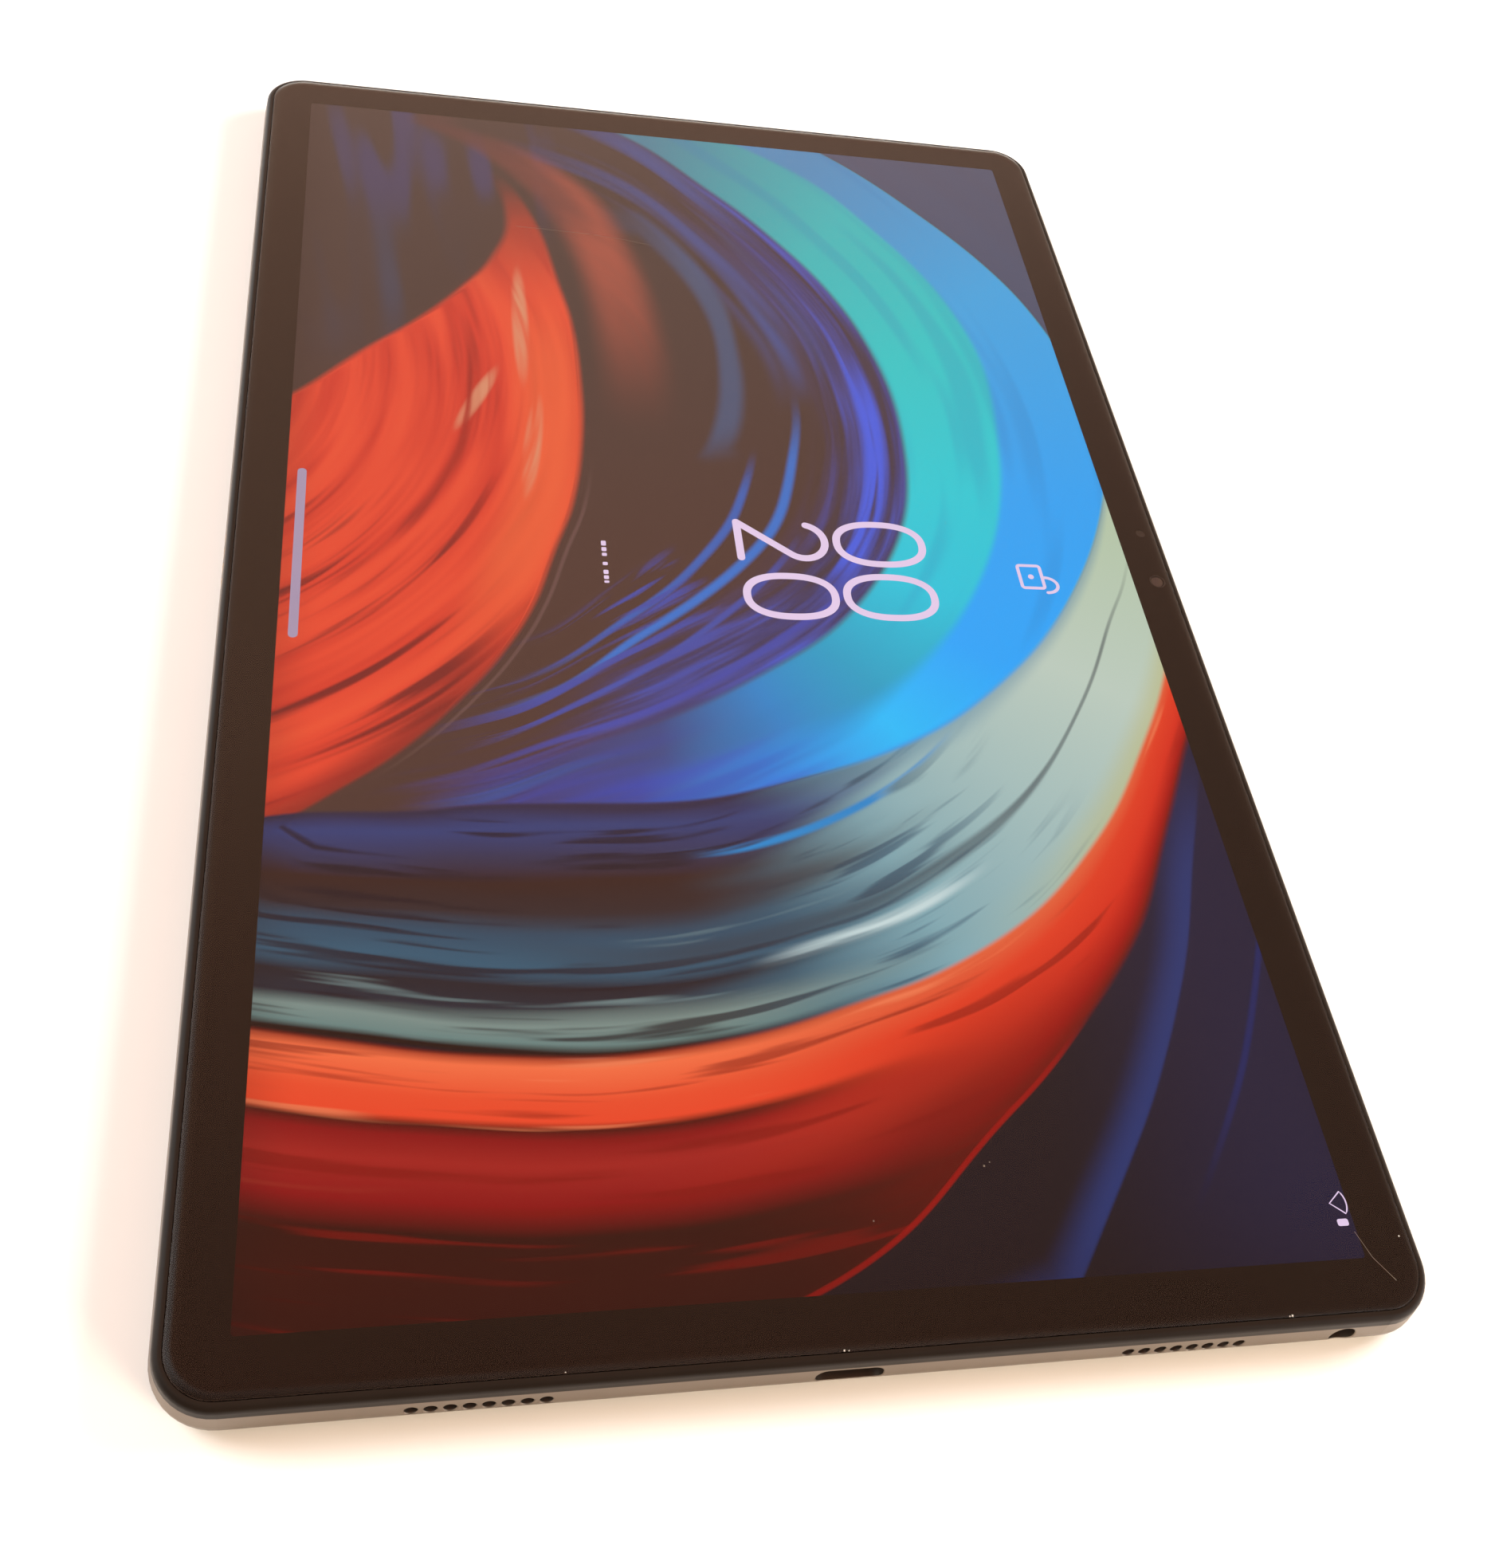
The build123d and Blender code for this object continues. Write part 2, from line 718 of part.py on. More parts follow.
# --------------------------------------------------------------- front camera
with BuildPart() as front_camera_module:
    with BuildSketch(Plane.XY.offset(front_camera_bottom)):
        with Locations((front_camera_x, 0)):
            RectangleRounded(front_camera_size, front_camera_size, 0.4)
    extrude(amount=front_camera_top - front_camera_bottom)
    with BuildSketch(Plane.XY.offset(front_camera_top)):
        with Locations((front_camera_x, 0)):
            Circle(1.9)
    extrude(amount=0.28)
    with BuildSketch(Plane.XY.offset(front_camera_top + 0.28)):
        with Locations((front_camera_x, 0)):
            Circle(1.3)
    extrude(amount=-0.8, mode=Mode.SUBTRACT)
front_camera_module.part.label = "front_camera_module"
export_step(front_camera_module.part, "parts/front_camera_module.step")

with BuildPart() as front_camera_lens:
    with BuildSketch(Plane.XY.offset(front_camera_top - 0.5)):
        with Locations((front_camera_x, 0)):
            Circle(1.26)
    extrude(amount=0.7)
    fillet(front_camera_lens.faces().sort_by(Axis.Z)[-1].edges(), radius=0.3)
front_camera_lens.part.label = "front_camera_lens"
export_step(front_camera_lens.part, "parts/front_camera_lens.step")

with BuildPart() as front_camera_flex:
    block(
        (78.2, -72, front_camera_bottom),
        (81.4, -front_camera_size / 2, front_camera_bottom + flex_thickness),
    )
    block((76, -72, front_camera_bottom), (78.2, -69, front_camera_bottom + flex_thickness))
    block((76.1, -71.9, board_top), (77.8, -69.1, front_camera_bottom))
front_camera_flex.part.label = "front_camera_flex"
export_step(front_camera_flex.part, "parts/front_camera_flex.step")

with BuildPart() as light_sensor:
    block(
        (front_camera_x - 1, light_sensor_y - 1.2, 5.85),
        (front_camera_x + 1, light_sensor_y + 1.2, 6.45),
    )
light_sensor.part.label = "light_sensor"
export_step(light_sensor.part, "parts/light_sensor.step")

# ---------------------------------------------------------------- rear camera
# The lens barrel slides towards the back face to focus.
rear_camera_plane = Plane(origin=(rear_camera_x, rear_camera_y, 0))
window_top = 0.65
barrel_radius = 2.65
barrel_rest = 1.3
barrel_length = 1.7
housing_bottom = 0.95
housing_top = 3.9

with BuildPart() as rear_camera_ring:
    with BuildSketch(rear_camera_plane.offset(camera_ring_recess)):
        Circle(camera_ring_radius)
        Circle(camera_window_radius + 0.03, mode=Mode.SUBTRACT)
    extrude(amount=0.8)
    ring_rim = rear_camera_ring.faces().sort_by(Axis.Z)[0].edges()
    chamfer(ring_rim.sort_by(SortBy.LENGTH)[0], length=0.05, length2=0.05)
rear_camera_ring.part.label = "rear_camera_ring"
export_step(rear_camera_ring.part, "parts/rear_camera_ring.step")

with BuildPart() as rear_camera_window:
    with BuildSketch(rear_camera_plane.offset(camera_ring_recess + 0.05)):
        Circle(camera_window_radius)
    extrude(amount=window_top - camera_ring_recess - 0.05)
rear_camera_window.part.label = "rear_camera_window"
export_step(rear_camera_window.part, "parts/rear_camera_window.step")

with BuildPart() as rear_camera_housing:
    with BuildSketch(rear_camera_plane.offset(housing_bottom)):
        RectangleRounded(9.4, 9.4, 0.6)
        Circle(barrel_radius + 0.1, mode=Mode.SUBTRACT)
    extrude(amount=housing_top - housing_bottom)
rear_camera_housing.part.label = "rear_camera_housing"
export_step(rear_camera_housing.part, "parts/rear_camera_housing.step")

with BuildPart() as rear_camera_barrel:
    with BuildSketch(rear_camera_plane.offset(barrel_rest)):
        Circle(barrel_radius)
        Circle(1.6, mode=Mode.SUBTRACT)
    extrude(amount=barrel_length)
rear_camera_barrel.part.label = "rear_camera_barrel"
export_step(rear_camera_barrel.part, "parts/rear_camera_barrel.step")

with BuildPart() as rear_camera_lens:
    with BuildSketch(rear_camera_plane.offset(barrel_rest + 0.25)):
        Circle(1.58)
    extrude(amount=barrel_length - 0.5)
rear_camera_lens.part.label = "rear_camera_lens"
export_step(rear_camera_lens.part, "parts/rear_camera_lens.step")

with BuildPart() as rear_camera_sensor:
    with BuildSketch(rear_camera_plane.offset(housing_top)):
        Rectangle(9.4, 9.4)
    extrude(amount=0.4)
    with BuildSketch(rear_camera_plane.offset(housing_top)):
        Rectangle(3.4, 2.6)
    extrude(amount=-0.4)
rear_camera_sensor.part.label = "rear_camera_sensor"
export_step(rear_camera_sensor.part, "parts/rear_camera_sensor.step")

flash_plane = Plane(origin=(rear_camera_x, flash_y, 0))
with BuildPart() as flash_lens:
    with BuildSketch(flash_plane.offset(camera_ring_recess)):
        Circle(flash_radius)
    extrude(amount=0.8)
flash_lens.part.label = "flash_lens"
export_step(flash_lens.part, "parts/flash_lens.step")

with BuildPart() as flash_led:
    with BuildSketch(flash_plane.offset(0.95)):
        Rectangle(1.8, 1.8)
    extrude(amount=board_bottom - 0.95)
flash_led.part.label = "flash_led"
export_step(flash_led.part, "parts/flash_led.step")

# -------------------------------------------------------------------- buttons
power_back_y = inner_y - 0.45 - flange_thickness
with BuildPart() as power_button:
    with BuildSketch(Plane.XZ.offset(-power_back_y)):
        with Locations((power_x, button_z)):
            SlotOverall(power_length + 2.0, flange_height)
    extrude(amount=-flange_thickness)
    with BuildSketch(Plane.XZ.offset(-power_back_y)):
        with Locations((power_x, button_z)):
            SlotOverall(power_length, button_height)
    extrude(amount=-(half_length + button_proud - power_back_y))
    fillet(power_button.faces().sort_by(Axis.Y)[-1].edges(), radius=0.25)
power_button.part.label = "power_button"
export_step(power_button.part, "parts/power_button.step")

power_switch_front_y = power_back_y - power_travel - 0.1
with BuildPart() as power_switch:
    block(
        (power_x - 2, power_switch_front_y - 1.1, button_z - 1),
        (power_x + 2, power_switch_front_y - 0.35, button_z + 1),
    )
    with BuildSketch(Plane.XZ.offset(-(power_switch_front_y - 0.35))):
        with Locations((power_x, button_z)):
            Circle(0.8)
    extrude(amount=-0.35)
power_switch.part.label = "power_switch"
export_step(power_switch.part, "parts/power_switch.step")

volume_back_x = inner_x - 0.35 - flange_thickness
with BuildPart() as volume_rocker:
    with BuildSketch(Plane.YZ.offset(volume_back_x)):
        with Locations((volume_y, button_z)):
            SlotOverall(volume_length + 2.0, flange_height)
    extrude(amount=flange_thickness)
    with BuildSketch(Plane.YZ.offset(volume_back_x)):
        with Locations((volume_y, button_z)):
            SlotOverall(volume_length, button_height)
    extrude(amount=half_width + button_proud - volume_back_x)
    fillet(volume_rocker.faces().sort_by(Axis.X)[-1].edges(), radius=0.25)
volume_rocker.part.label = "volume_rocker"
export_step(volume_rocker.part, "parts/volume_rocker.step")

volume_switch_front_x = volume_back_x - 0.35
with BuildPart() as volume_switches:
    for side in (-1, 1):
        switch_y = volume_y + side * volume_switch_offset
        block(
            (volume_switch_front_x - 1.1, switch_y - 2, button_z - 1),
            (volume_switch_front_x - 0.35, switch_y + 2, button_z + 1),
        )
        with BuildSketch(Plane.YZ.offset(volume_switch_front_x - 0.35)):
            with Locations((switch_y, button_z)):
                Circle(0.8)
        extrude(amount=0.35)
volume_switches.part.label = "volume_switches"
export_step(volume_switches.part, "parts/volume_switches.step")

# One ribbon joins the three switches to the main board.
ribbon_low_x = 70.0
ribbon_high_x = 73.0
ribbon_floor_z = board_top + 0.3
power_switch_back_y = power_switch_front_y - 1.1
volume_switch_back_x = volume_switch_front_x - 1.1
with BuildPart() as button_flex:
    block(
        (ribbon_low_x, -72, ribbon_floor_z),
        (ribbon_high_x, volume_y + 12, ribbon_floor_z + flex_thickness),
    )
    block(
        (ribbon_low_x + 0.3, -71.5, board_top),
        (ribbon_high_x - 0.3, -68.5, ribbon_floor_z),
    )
    block(
        (ribbon_high_x, volume_y - 4, ribbon_floor_z),
        (volume_switch_back_x, volume_y + 4, ribbon_floor_z + flex_thickness),
    )
    block(
        (volume_switch_back_x - flex_thickness, volume_y - 11, button_z - 1),
        (volume_switch_back_x, volume_y + 11, button_z + 1),
    )
    block(
        (ribbon_low_x - 3.5, volume_y + 9, ribbon_floor_z),
        (ribbon_low_x, power_switch_back_y, ribbon_floor_z + flex_thickness),
    )
    block(
        (power_x - 2.5, power_switch_back_y - flex_thickness, button_z - 1),
        (power_x + 2.5, power_switch_back_y, button_z + 1),
    )
button_flex.part.label = "button_flex"
export_step(button_flex.part, "parts/button_flex.step")

# ------------------------------------------------------------------ card tray
tray_face_back_x = half_width - tray_face_thickness
tray_back_x = tray_face_back_x - tray_length
with BuildPart() as card_tray:
    block(
        (tray_back_x, tray_y - tray_width / 2, tray_z - tray_thickness / 2),
        (tray_face_back_x, tray_y + tray_width / 2, tray_z + tray_thickness / 2),
    )
    with BuildSketch(Plane.YZ.offset(tray_face_back_x)):
        with Locations((tray_y, tray_z)):
            SlotOverall(tray_face_width, tray_face_height)
    extrude(amount=tray_face_thickness)
    card_low_x = tray_face_back_x - card_length - 0.3
    block(
        (card_low_x, tray_y - card_width / 2 - 0.1, tray_z - tray_thickness / 2 + 0.25),
        (tray_face_back_x - 0.1, tray_y + card_width / 2 + 0.1, tray_z + tray_thickness),
        mode=Mode.SUBTRACT,
    )
    with BuildSketch(Plane.YZ.offset(half_width)):
        with Locations((tray_y + tray_face_width / 2 - 1.3, tray_z)):
            Circle(pin_hole_radius)
    extrude(amount=-0.8, mode=Mode.SUBTRACT)
    add(outer_form.part, mode=Mode.INTERSECT)
card_tray.part.label = "card_tray"
export_step(card_tray.part, "parts/card_tray.step")

with BuildPart() as memory_card:
    with BuildSketch(Plane.XY.offset(tray_z - tray_thickness / 2 + 0.27)):
        with Locations(((card_low_x + tray_face_back_x - 0.1) / 2, tray_y)):
            RectangleRounded(card_length, card_width, 0.7)
    extrude(amount=card_thickness)
memory_card.part.label = "memory_card"
export_step(memory_card.part, "parts/memory_card.step")

with BuildPart() as card_socket:
    block(
        (tray_back_x - 1.1, tray_y - 7.3, board_top),
        (81.9, tray_y + 7.3, tray_z + 1.0),
    )
    block(
        (tray_back_x - 0.5, tray_y - tray_width / 2 - 0.3, tray_z - 0.75),
        (82.5, tray_y + tray_width / 2 + 0.3, tray_z + 0.75),
        mode=Mode.SUBTRACT,
    )
card_socket.part.label = "card_socket"
export_step(card_socket.part, "parts/card_socket.step")

# -------------------------------------- microphones, contacts, antenna, cable
with BuildPart() as microphones:
    for y in microphone_ys:
        block((inner_x - 1.3, y - 1.8, grille_z - 1.0), (inner_x - 0.1, y + 1.8, grille_z + 1.0))
microphones.part.label = "microphones"
export_step(microphones.part, "parts/microphones.step")

with BuildPart() as keyboard_contacts:
    with BuildSketch(Plane.YZ.offset(-half_width + 0.1)):
        with Locations((0, grille_z)):
            with GridLocations(contact_pitch, 1, contact_count, 1):
                Circle(contact_radius)
    extrude(amount=wall + 0.1)
    add(outer_form.part, mode=Mode.INTERSECT)
keyboard_contacts.part.label = "keyboard_contacts"
export_step(keyboard_contacts.part, "parts/keyboard_contacts.step")

with BuildPart() as contact_block:
    block(
        (-half_width + wall + 0.2, -7, grille_z - 1.0),
        (-half_width + wall + 2.6, 7, grille_z + 1.0),
    )
contact_block.part.label = "contact_block"
export_step(contact_block.part, "parts/contact_block.step")

antenna_top = 1.6
with BuildPart() as antenna:
    block((60.5, 96, 1.1), (67.5, 126, antenna_top))
    chamfer(antenna.edges().filter_by(Axis.Z), length=1.0)
antenna.part.label = "antenna"
export_step(antenna.part, "parts/antenna.step")

# The coax lead runs beside the battery from the antenna to the main board.
coax_z = board_top + 0.6
coax_radius = 0.5
coax_plug_radius = 1.3
coax_start = (63.5, 100)
coax_end = (54, -76)
with BuildPart() as coax_cable:
    with BuildLine(Plane.XY.offset(coax_z)) as coax_path:
        FilletPolyline(coax_start, (58.4, 94), (58.4, -60), coax_end, radius=6)
    with BuildSketch(Plane(origin=coax_path.line @ 0, z_dir=coax_path.line % 0)):
        Circle(coax_radius)
    sweep()
    with BuildSketch(Plane.XY.offset(board_top)):
        with Locations(coax_end):
            Circle(coax_plug_radius)
    extrude(amount=coax_z + coax_radius - board_top)
    with BuildSketch(Plane.XY.offset(antenna_top)):
        with Locations(coax_start):
            Circle(coax_plug_radius)
    extrude(amount=coax_z + coax_radius - antenna_top)
coax_cable.part.label = "coax_cable"
export_step(coax_cable.part, "parts/coax_cable.step")
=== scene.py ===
import math

import bpy
from mathutils import Matrix, Vector


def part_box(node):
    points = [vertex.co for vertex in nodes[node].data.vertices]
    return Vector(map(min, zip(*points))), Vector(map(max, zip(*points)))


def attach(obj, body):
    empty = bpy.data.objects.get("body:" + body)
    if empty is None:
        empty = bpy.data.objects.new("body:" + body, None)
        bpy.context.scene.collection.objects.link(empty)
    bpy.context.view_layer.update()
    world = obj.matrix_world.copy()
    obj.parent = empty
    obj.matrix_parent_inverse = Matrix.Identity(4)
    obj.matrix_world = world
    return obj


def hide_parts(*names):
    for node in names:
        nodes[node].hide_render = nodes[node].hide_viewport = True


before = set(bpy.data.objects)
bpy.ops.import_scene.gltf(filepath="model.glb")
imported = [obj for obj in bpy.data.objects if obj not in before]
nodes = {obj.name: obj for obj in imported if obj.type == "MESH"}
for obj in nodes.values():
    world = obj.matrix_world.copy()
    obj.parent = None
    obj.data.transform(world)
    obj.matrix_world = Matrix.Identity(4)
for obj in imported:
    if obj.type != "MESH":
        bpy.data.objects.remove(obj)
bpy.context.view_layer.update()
MM = 0.001

# The lit part of the screen, and where the picture's layers lie, in millimetres.
ACTIVE_X = 75.14
ACTIVE_Y = 125.24
PICTURE_TOP = 6.50
PRINT_TOP = 6.63
MARKS_BOTTOM = 6.52
MARKS_TOP = 6.56

# Where the cover meets the ring, and the openings in the border: x, y and radius.
SEAM_HEIGHT = 5.2
BORDER_OPENINGS = (("camera_cut", 80.0, 0.0, 1.55), ("sensor_cut", 80.0, 12.0, 0.95))


# ------------------------------------------------------------ colours and nodes
def linear(value):
    """One sRGB channel, from 0 to 255, as linear light."""
    v = value / 255
    if v <= 0.04045:
        return v / 12.92
    return ((v + 0.055) / 1.055) ** 2.4


def rgb(r, g, b):
    return (linear(r), linear(g), linear(b), 1.0)


# Warm light that the glass adds to the picture, taken off the picture's colours.
GLASS_HAZE = (0.056, 0.031, 0.020)


def lit(r, g, b):
    colour = rgb(r, g, b)
    return tuple(max(c - h, 0.0) for c, h in zip(colour[:3], GLASS_HAZE)) + (1.0,)


class Field:
    """A number that varies over a surface: the output of a maths node."""

    def __init__(self, tree, source):
        self.tree = tree
        self.source = source

    def _maths(self, operation, *others, clamp=False):
        node = self.tree.nodes.new("ShaderNodeMath")
        node.operation = operation
        node.use_clamp = clamp
        plug(self.tree, node.inputs[0], self)
        for place, other in enumerate(others, start=1):
            plug(self.tree, node.inputs[place], other)
        return Field(self.tree, node.outputs[0])

    def __add__(self, other):
        return self._maths("ADD", other)

    def __radd__(self, other):
        return self._maths("ADD", other)

    def __sub__(self, other):
        return self._maths("SUBTRACT", other)

    def __rsub__(self, other):
        return (self * -1)._maths("ADD", other)

    def __mul__(self, other):
        return self._maths("MULTIPLY", other)

    def __rmul__(self, other):
        return self._maths("MULTIPLY", other)

    def __truediv__(self, other):
        return self._maths("DIVIDE", other)

    def size(self):
        return self._maths("ABSOLUTE")

    def clamped(self):
        return self._maths("ADD", 0.0, clamp=True)

    def step(self, low, high):
        """0 below low and 1 above high, or the other way round if low is the larger."""
        node = self.tree.nodes.new("ShaderNodeMapRange")
        node.interpolation_type = "SMOOTHSTEP"
        plug(self.tree, node.inputs["Value"], self)
        if low < high:
            node.inputs["From Min"].default_value = low
            node.inputs["From Max"].default_value = high
            return Field(self.tree, node.outputs["Result"])
        node.inputs["From Min"].default_value = high
        node.inputs["From Max"].default_value = low
        node.inputs["To Min"].default_value = 1.0
        node.inputs["To Max"].default_value = 0.0
        return Field(self.tree, node.outputs["Result"])

    def between(self, low, high, soft):
        """1 from low to high, falling to 0 over soft on either side."""
        return self.step(low - soft, low + soft) * self.step(high + soft, high - soft)


def plug(tree, socket, value):
    if isinstance(value, Field):
        tree.links.new(value.source, socket)
    else:
        socket.default_value = value


def pick(amount, first, second):
    """first where amount is 0, and second where it is 1."""
    return first + (second - first) * amount


def curve(tree, field, points):
    """The height, at field, of a smooth curve through points (place, height)."""
    places = [place for place, height in points]
    heights = [height for place, height in points]
    span = places[-1] - places[0]
    low = min(heights)
    rise = max(heights) - low
    node = tree.nodes.new("ShaderNodeFloatCurve")
    line = node.mapping.curves[0]
    scaled = [((place - places[0]) / span, (height - low) / rise) for place, height in points]
    line.points[0].location = scaled[0]
    line.points[1].location = scaled[-1]
    for at in scaled[1:-1]:
        line.points.new(*at)
    node.mapping.update()
    plug(tree, node.inputs["Value"], ((field - places[0]) * (1 / span)).clamped())
    return Field(tree, node.outputs[0]) * rise + low


def noise(tree, x, y, scale=1.0, detail=3.0, rough=0.55, seed=0.0):
    """Soft noise from about 0 to 1 at the place (x, y)."""
    place = tree.nodes.new("ShaderNodeCombineXYZ")
    plug(tree, place.inputs[0], x)
    plug(tree, place.inputs[1], y)
    plug(tree, place.inputs[2], seed)
    node = tree.nodes.new("ShaderNodeTexNoise")
    tree.links.new(place.outputs[0], node.inputs["Vector"])
    node.inputs["Scale"].default_value = scale
    node.inputs["Detail"].default_value = detail
    node.inputs["Roughness"].default_value = rough
    return Field(tree, node.outputs[0])


def blend(tree, amount, below, above):
    """The colour below, covered by the colour above where amount is 1."""
    node = tree.nodes.new("ShaderNodeMix")
    node.data_type = "RGBA"
    node.clamp_factor = True
    plug(tree, node.inputs["Factor"], amount)
    colour_sockets = [s for s in node.inputs if s.type == "RGBA"]
    for socket, colour in zip(colour_sockets, (below, above)):
        if isinstance(colour, tuple):
            socket.default_value = colour
        else:
            tree.links.new(colour, socket)
    return [s for s in node.outputs if s.type == "RGBA"][0]


def ramp(tree, amount, stops):
    """A colour that runs through stops, (place, colour), as amount goes from 0 to 1."""
    node = tree.nodes.new("ShaderNodeValToRGB")
    plug(tree, node.inputs[0], amount)
    elements = node.color_ramp.elements
    elements[0].position, elements[0].color = stops[0]
    elements[1].position, elements[1].color = stops[-1]
    for position, colour in stops[1:-1]:
        element = elements.new(position)
        element.color = colour
    return node.outputs[0]


def new_material(name):
    material = bpy.data.materials.new(name)
    material.use_nodes = True
    tree = material.node_tree
    shader = next(n for n in tree.nodes if n.type == "BSDF_PRINCIPLED")
    return material, tree, shader


def place_of(tree):
    """The x, y and z fields of the surface, in millimetres."""
    coordinates = tree.nodes.new("ShaderNodeTexCoord")
    apart = tree.nodes.new("ShaderNodeSeparateXYZ")
    tree.links.new(coordinates.outputs["Object"], apart.inputs[0])
    return [Field(tree, apart.outputs[axis]) * (1 / MM) for axis in range(3)]


def solid(
    name,
    colour,
    roughness,
    metallic=0.0,
    mottle=0.08,
    mottle_mm=6.0,
    grain=0.0,
    grain_mm=0.12,
    rough_spread=0.06,
    specular=0.5,
    seam=None,
):
    """A finish with slightly uneven colour and gloss, a fine grain, and a dark seam."""
    material, tree, shader = new_material(name)
    x, y, z = place_of(tree)
    wide = noise(tree, x + z * 0.7, y - z * 0.4, 1 / mottle_mm, 4.0, 0.6, 1.3)
    low = tuple(c * (1 - mottle) for c in colour[:3]) + (1.0,)
    high = tuple(min(c * (1 + mottle), 1.0) for c in colour[:3]) + (1.0,)
    tone = blend(tree, wide.step(0.3, 0.7), low, high)
    if seam:
        tone = blend(tree, z.between(seam - 0.06, seam + 0.06, 0.05) * 0.8, tone, rgb(40, 30, 24))
    tree.links.new(tone, shader.inputs["Base Color"])
    gloss = noise(tree, x - z, y + z, 2.5 / mottle_mm, 3.0, 0.6, 7.7)
    plug(tree, shader.inputs["Roughness"], gloss * (2 * rough_spread) + (roughness - rough_spread))
    shader.inputs["Metallic"].default_value = metallic
    shader.inputs["Specular IOR Level"].default_value = specular
    if grain:
        coordinates = tree.nodes.new("ShaderNodeTexCoord")
        fine = tree.nodes.new("ShaderNodeTexNoise")
        tree.links.new(coordinates.outputs["Object"], fine.inputs["Vector"])
        fine.inputs["Scale"].default_value = 1 / (grain_mm * MM)
        fine.inputs["Detail"].default_value = 2.0
        bump = tree.nodes.new("ShaderNodeBump")
        bump.inputs["Strength"].default_value = grain
        bump.inputs["Distance"].default_value = 0.02 * MM
        tree.links.new(fine.outputs[0], bump.inputs["Height"])
        tree.links.new(bump.outputs[0], shader.inputs["Normal"])
    return material


# ------------------------------------------------------------------- materials
FINISHES = {
    "shell_aluminium": solid(
        "shell_aluminium",
        rgb(134, 122, 110),
        0.36,
        1.0,
        0.03,
        9.0,
        0.25,
        0.10,
        rough_spread=0.03,
        seam=SEAM_HEIGHT,
    ),
    "frame_plastic": solid(
        "frame_plastic",
        rgb(30, 23, 18),
        0.34,
        0.0,
        0.06,
        8.0,
        0.15,
        0.08,
        specular=0.14,
        seam=SEAM_HEIGHT,
    ),
    "back_strip_plastic": solid(
        "back_strip_plastic", rgb(112, 104, 98), 0.48, 0.0, 0.05, 12.0, 0.2, 0.15
    ),
    "adhesive": solid("adhesive", rgb(9, 8, 8), 0.6, specular=0.0),
    "display_panel": solid("display_panel", rgb(30, 30, 34), 0.2),
    "backlight_white": solid("backlight_white", rgb(225, 225, 222), 0.5),
    "plate_metal": solid("plate_metal", rgb(150, 150, 148), 0.4, 1.0, 0.06, 10.0, 0.2, 0.2),
    "screw_steel": solid("screw_steel", rgb(120, 118, 116), 0.3, 1.0),
    "battery_foil": solid("battery_foil", rgb(38, 38, 42), 0.42, 0.0, 0.12, 5.0, 0.3, 0.6),
    "circuit_board": solid("circuit_board", rgb(16, 44, 40), 0.42, 0.0, 0.2, 1.2),
    "shield_steel": solid("shield_steel", rgb(172, 170, 164), 0.33, 1.0, 0.05, 7.0),
    "chip_black": solid("chip_black", rgb(22, 22, 24), 0.5, 0.0, 0.1, 2.0, 0.2, 0.1),
    "thermal_grey": solid("thermal_grey", rgb(120, 124, 132), 0.85),
    "flex_film": solid("flex_film", rgb(96, 62, 22), 0.38, 0.0, 0.12, 3.0),
    "contact_gold": solid("contact_gold", rgb(205, 160, 84), 0.28, 1.0),
    "connector_steel": solid("connector_steel", rgb(168, 166, 162), 0.24, 1.0),
    "black_plastic": solid("black_plastic", rgb(24, 23, 23), 0.5, 0.0, 0.1, 3.0, 0.2, 0.1),
    "camera_metal": solid("camera_metal", rgb(92, 86, 80), 0.25, 1.0),
    "button_aluminium": solid(
        "button_aluminium", rgb(138, 126, 114), 0.3, 1.0, 0.04, 5.0, 0.2, 0.10
    ),
    "flash_plastic": solid("flash_plastic", rgb(236, 226, 170), 0.25, 0.0, 0.08, 0.5),
    "cable_black": solid("cable_black", rgb(26, 26, 28), 0.45),
}


def mesh_steel():
    """Black steel cloth: a grid of fine round holes, not cut but painted near black as the shade behind
    them.
    """
    material, tree, shader = new_material("mesh_steel")
    x, y, z = place_of(tree)
    pitch = 0.32
    across = (x / pitch)._maths("FRACT") - 0.5
    upward = (z / pitch)._maths("FRACT") - 0.5
    centre_distance = (across * across + upward * upward)._maths("SQRT")
    # Painted shade: each hole gets a near-black colour for the dark space behind the cloth.
    hole_shade = centre_distance.step(0.34, 0.26)
    wear = noise(tree, x, z, 1.2, 3.0, 0.6, 2.0)
    wire = blend(tree, wear, rgb(52, 49, 46), rgb(72, 68, 63))
    tree.links.new(blend(tree, hole_shade, wire, rgb(4, 4, 4)), shader.inputs["Base Color"])
    plug(tree, shader.inputs["Roughness"], hole_shade * 0.4 + 0.4)
    shader.inputs["Metallic"].default_value = 0.6
    return material


# The glass has air behind it here, and none in a bonded screen, so that its two
# faces share the light that one face of real glass would reflect.
GLASS_IOR = 1.33


def cover_glass():
    """Clear glass with a faint, uneven smear."""
    material, tree, shader = new_material("cover_glass")
    x, y, z = place_of(tree)
    smear = noise(tree, x, y, 0.02, 2.0, 0.6, 5.0)
    plug(tree, shader.inputs["Roughness"], smear * 0.02)
    shader.inputs["Base Color"].default_value = (1.0, 1.0, 1.0, 1.0)
    shader.inputs["Transmission Weight"].default_value = 1.0
    shader.inputs["IOR"].default_value = GLASS_IOR
    return material


def lens_glass():
    """Dark coated camera glass with a faint violet bloom."""
    material, tree, shader = new_material("lens_glass")
    x, y, z = place_of(tree)
    bloom = noise(tree, x, y, 0.5, 2.0, 0.5, 1.0)
    tree.links.new(
        blend(tree, bloom, rgb(10, 12, 26), rgb(30, 20, 44)), shader.inputs["Base Color"]
    )
    plug(tree, shader.inputs["Roughness"], bloom * 0.03 + 0.03)
    shader.inputs["Coat Weight"].default_value = 0.6
    return material


FINISHES["mesh_steel"] = mesh_steel()
FINISHES["cover_glass"] = cover_glass()
FINISHES["lens_glass"] = lens_glass()

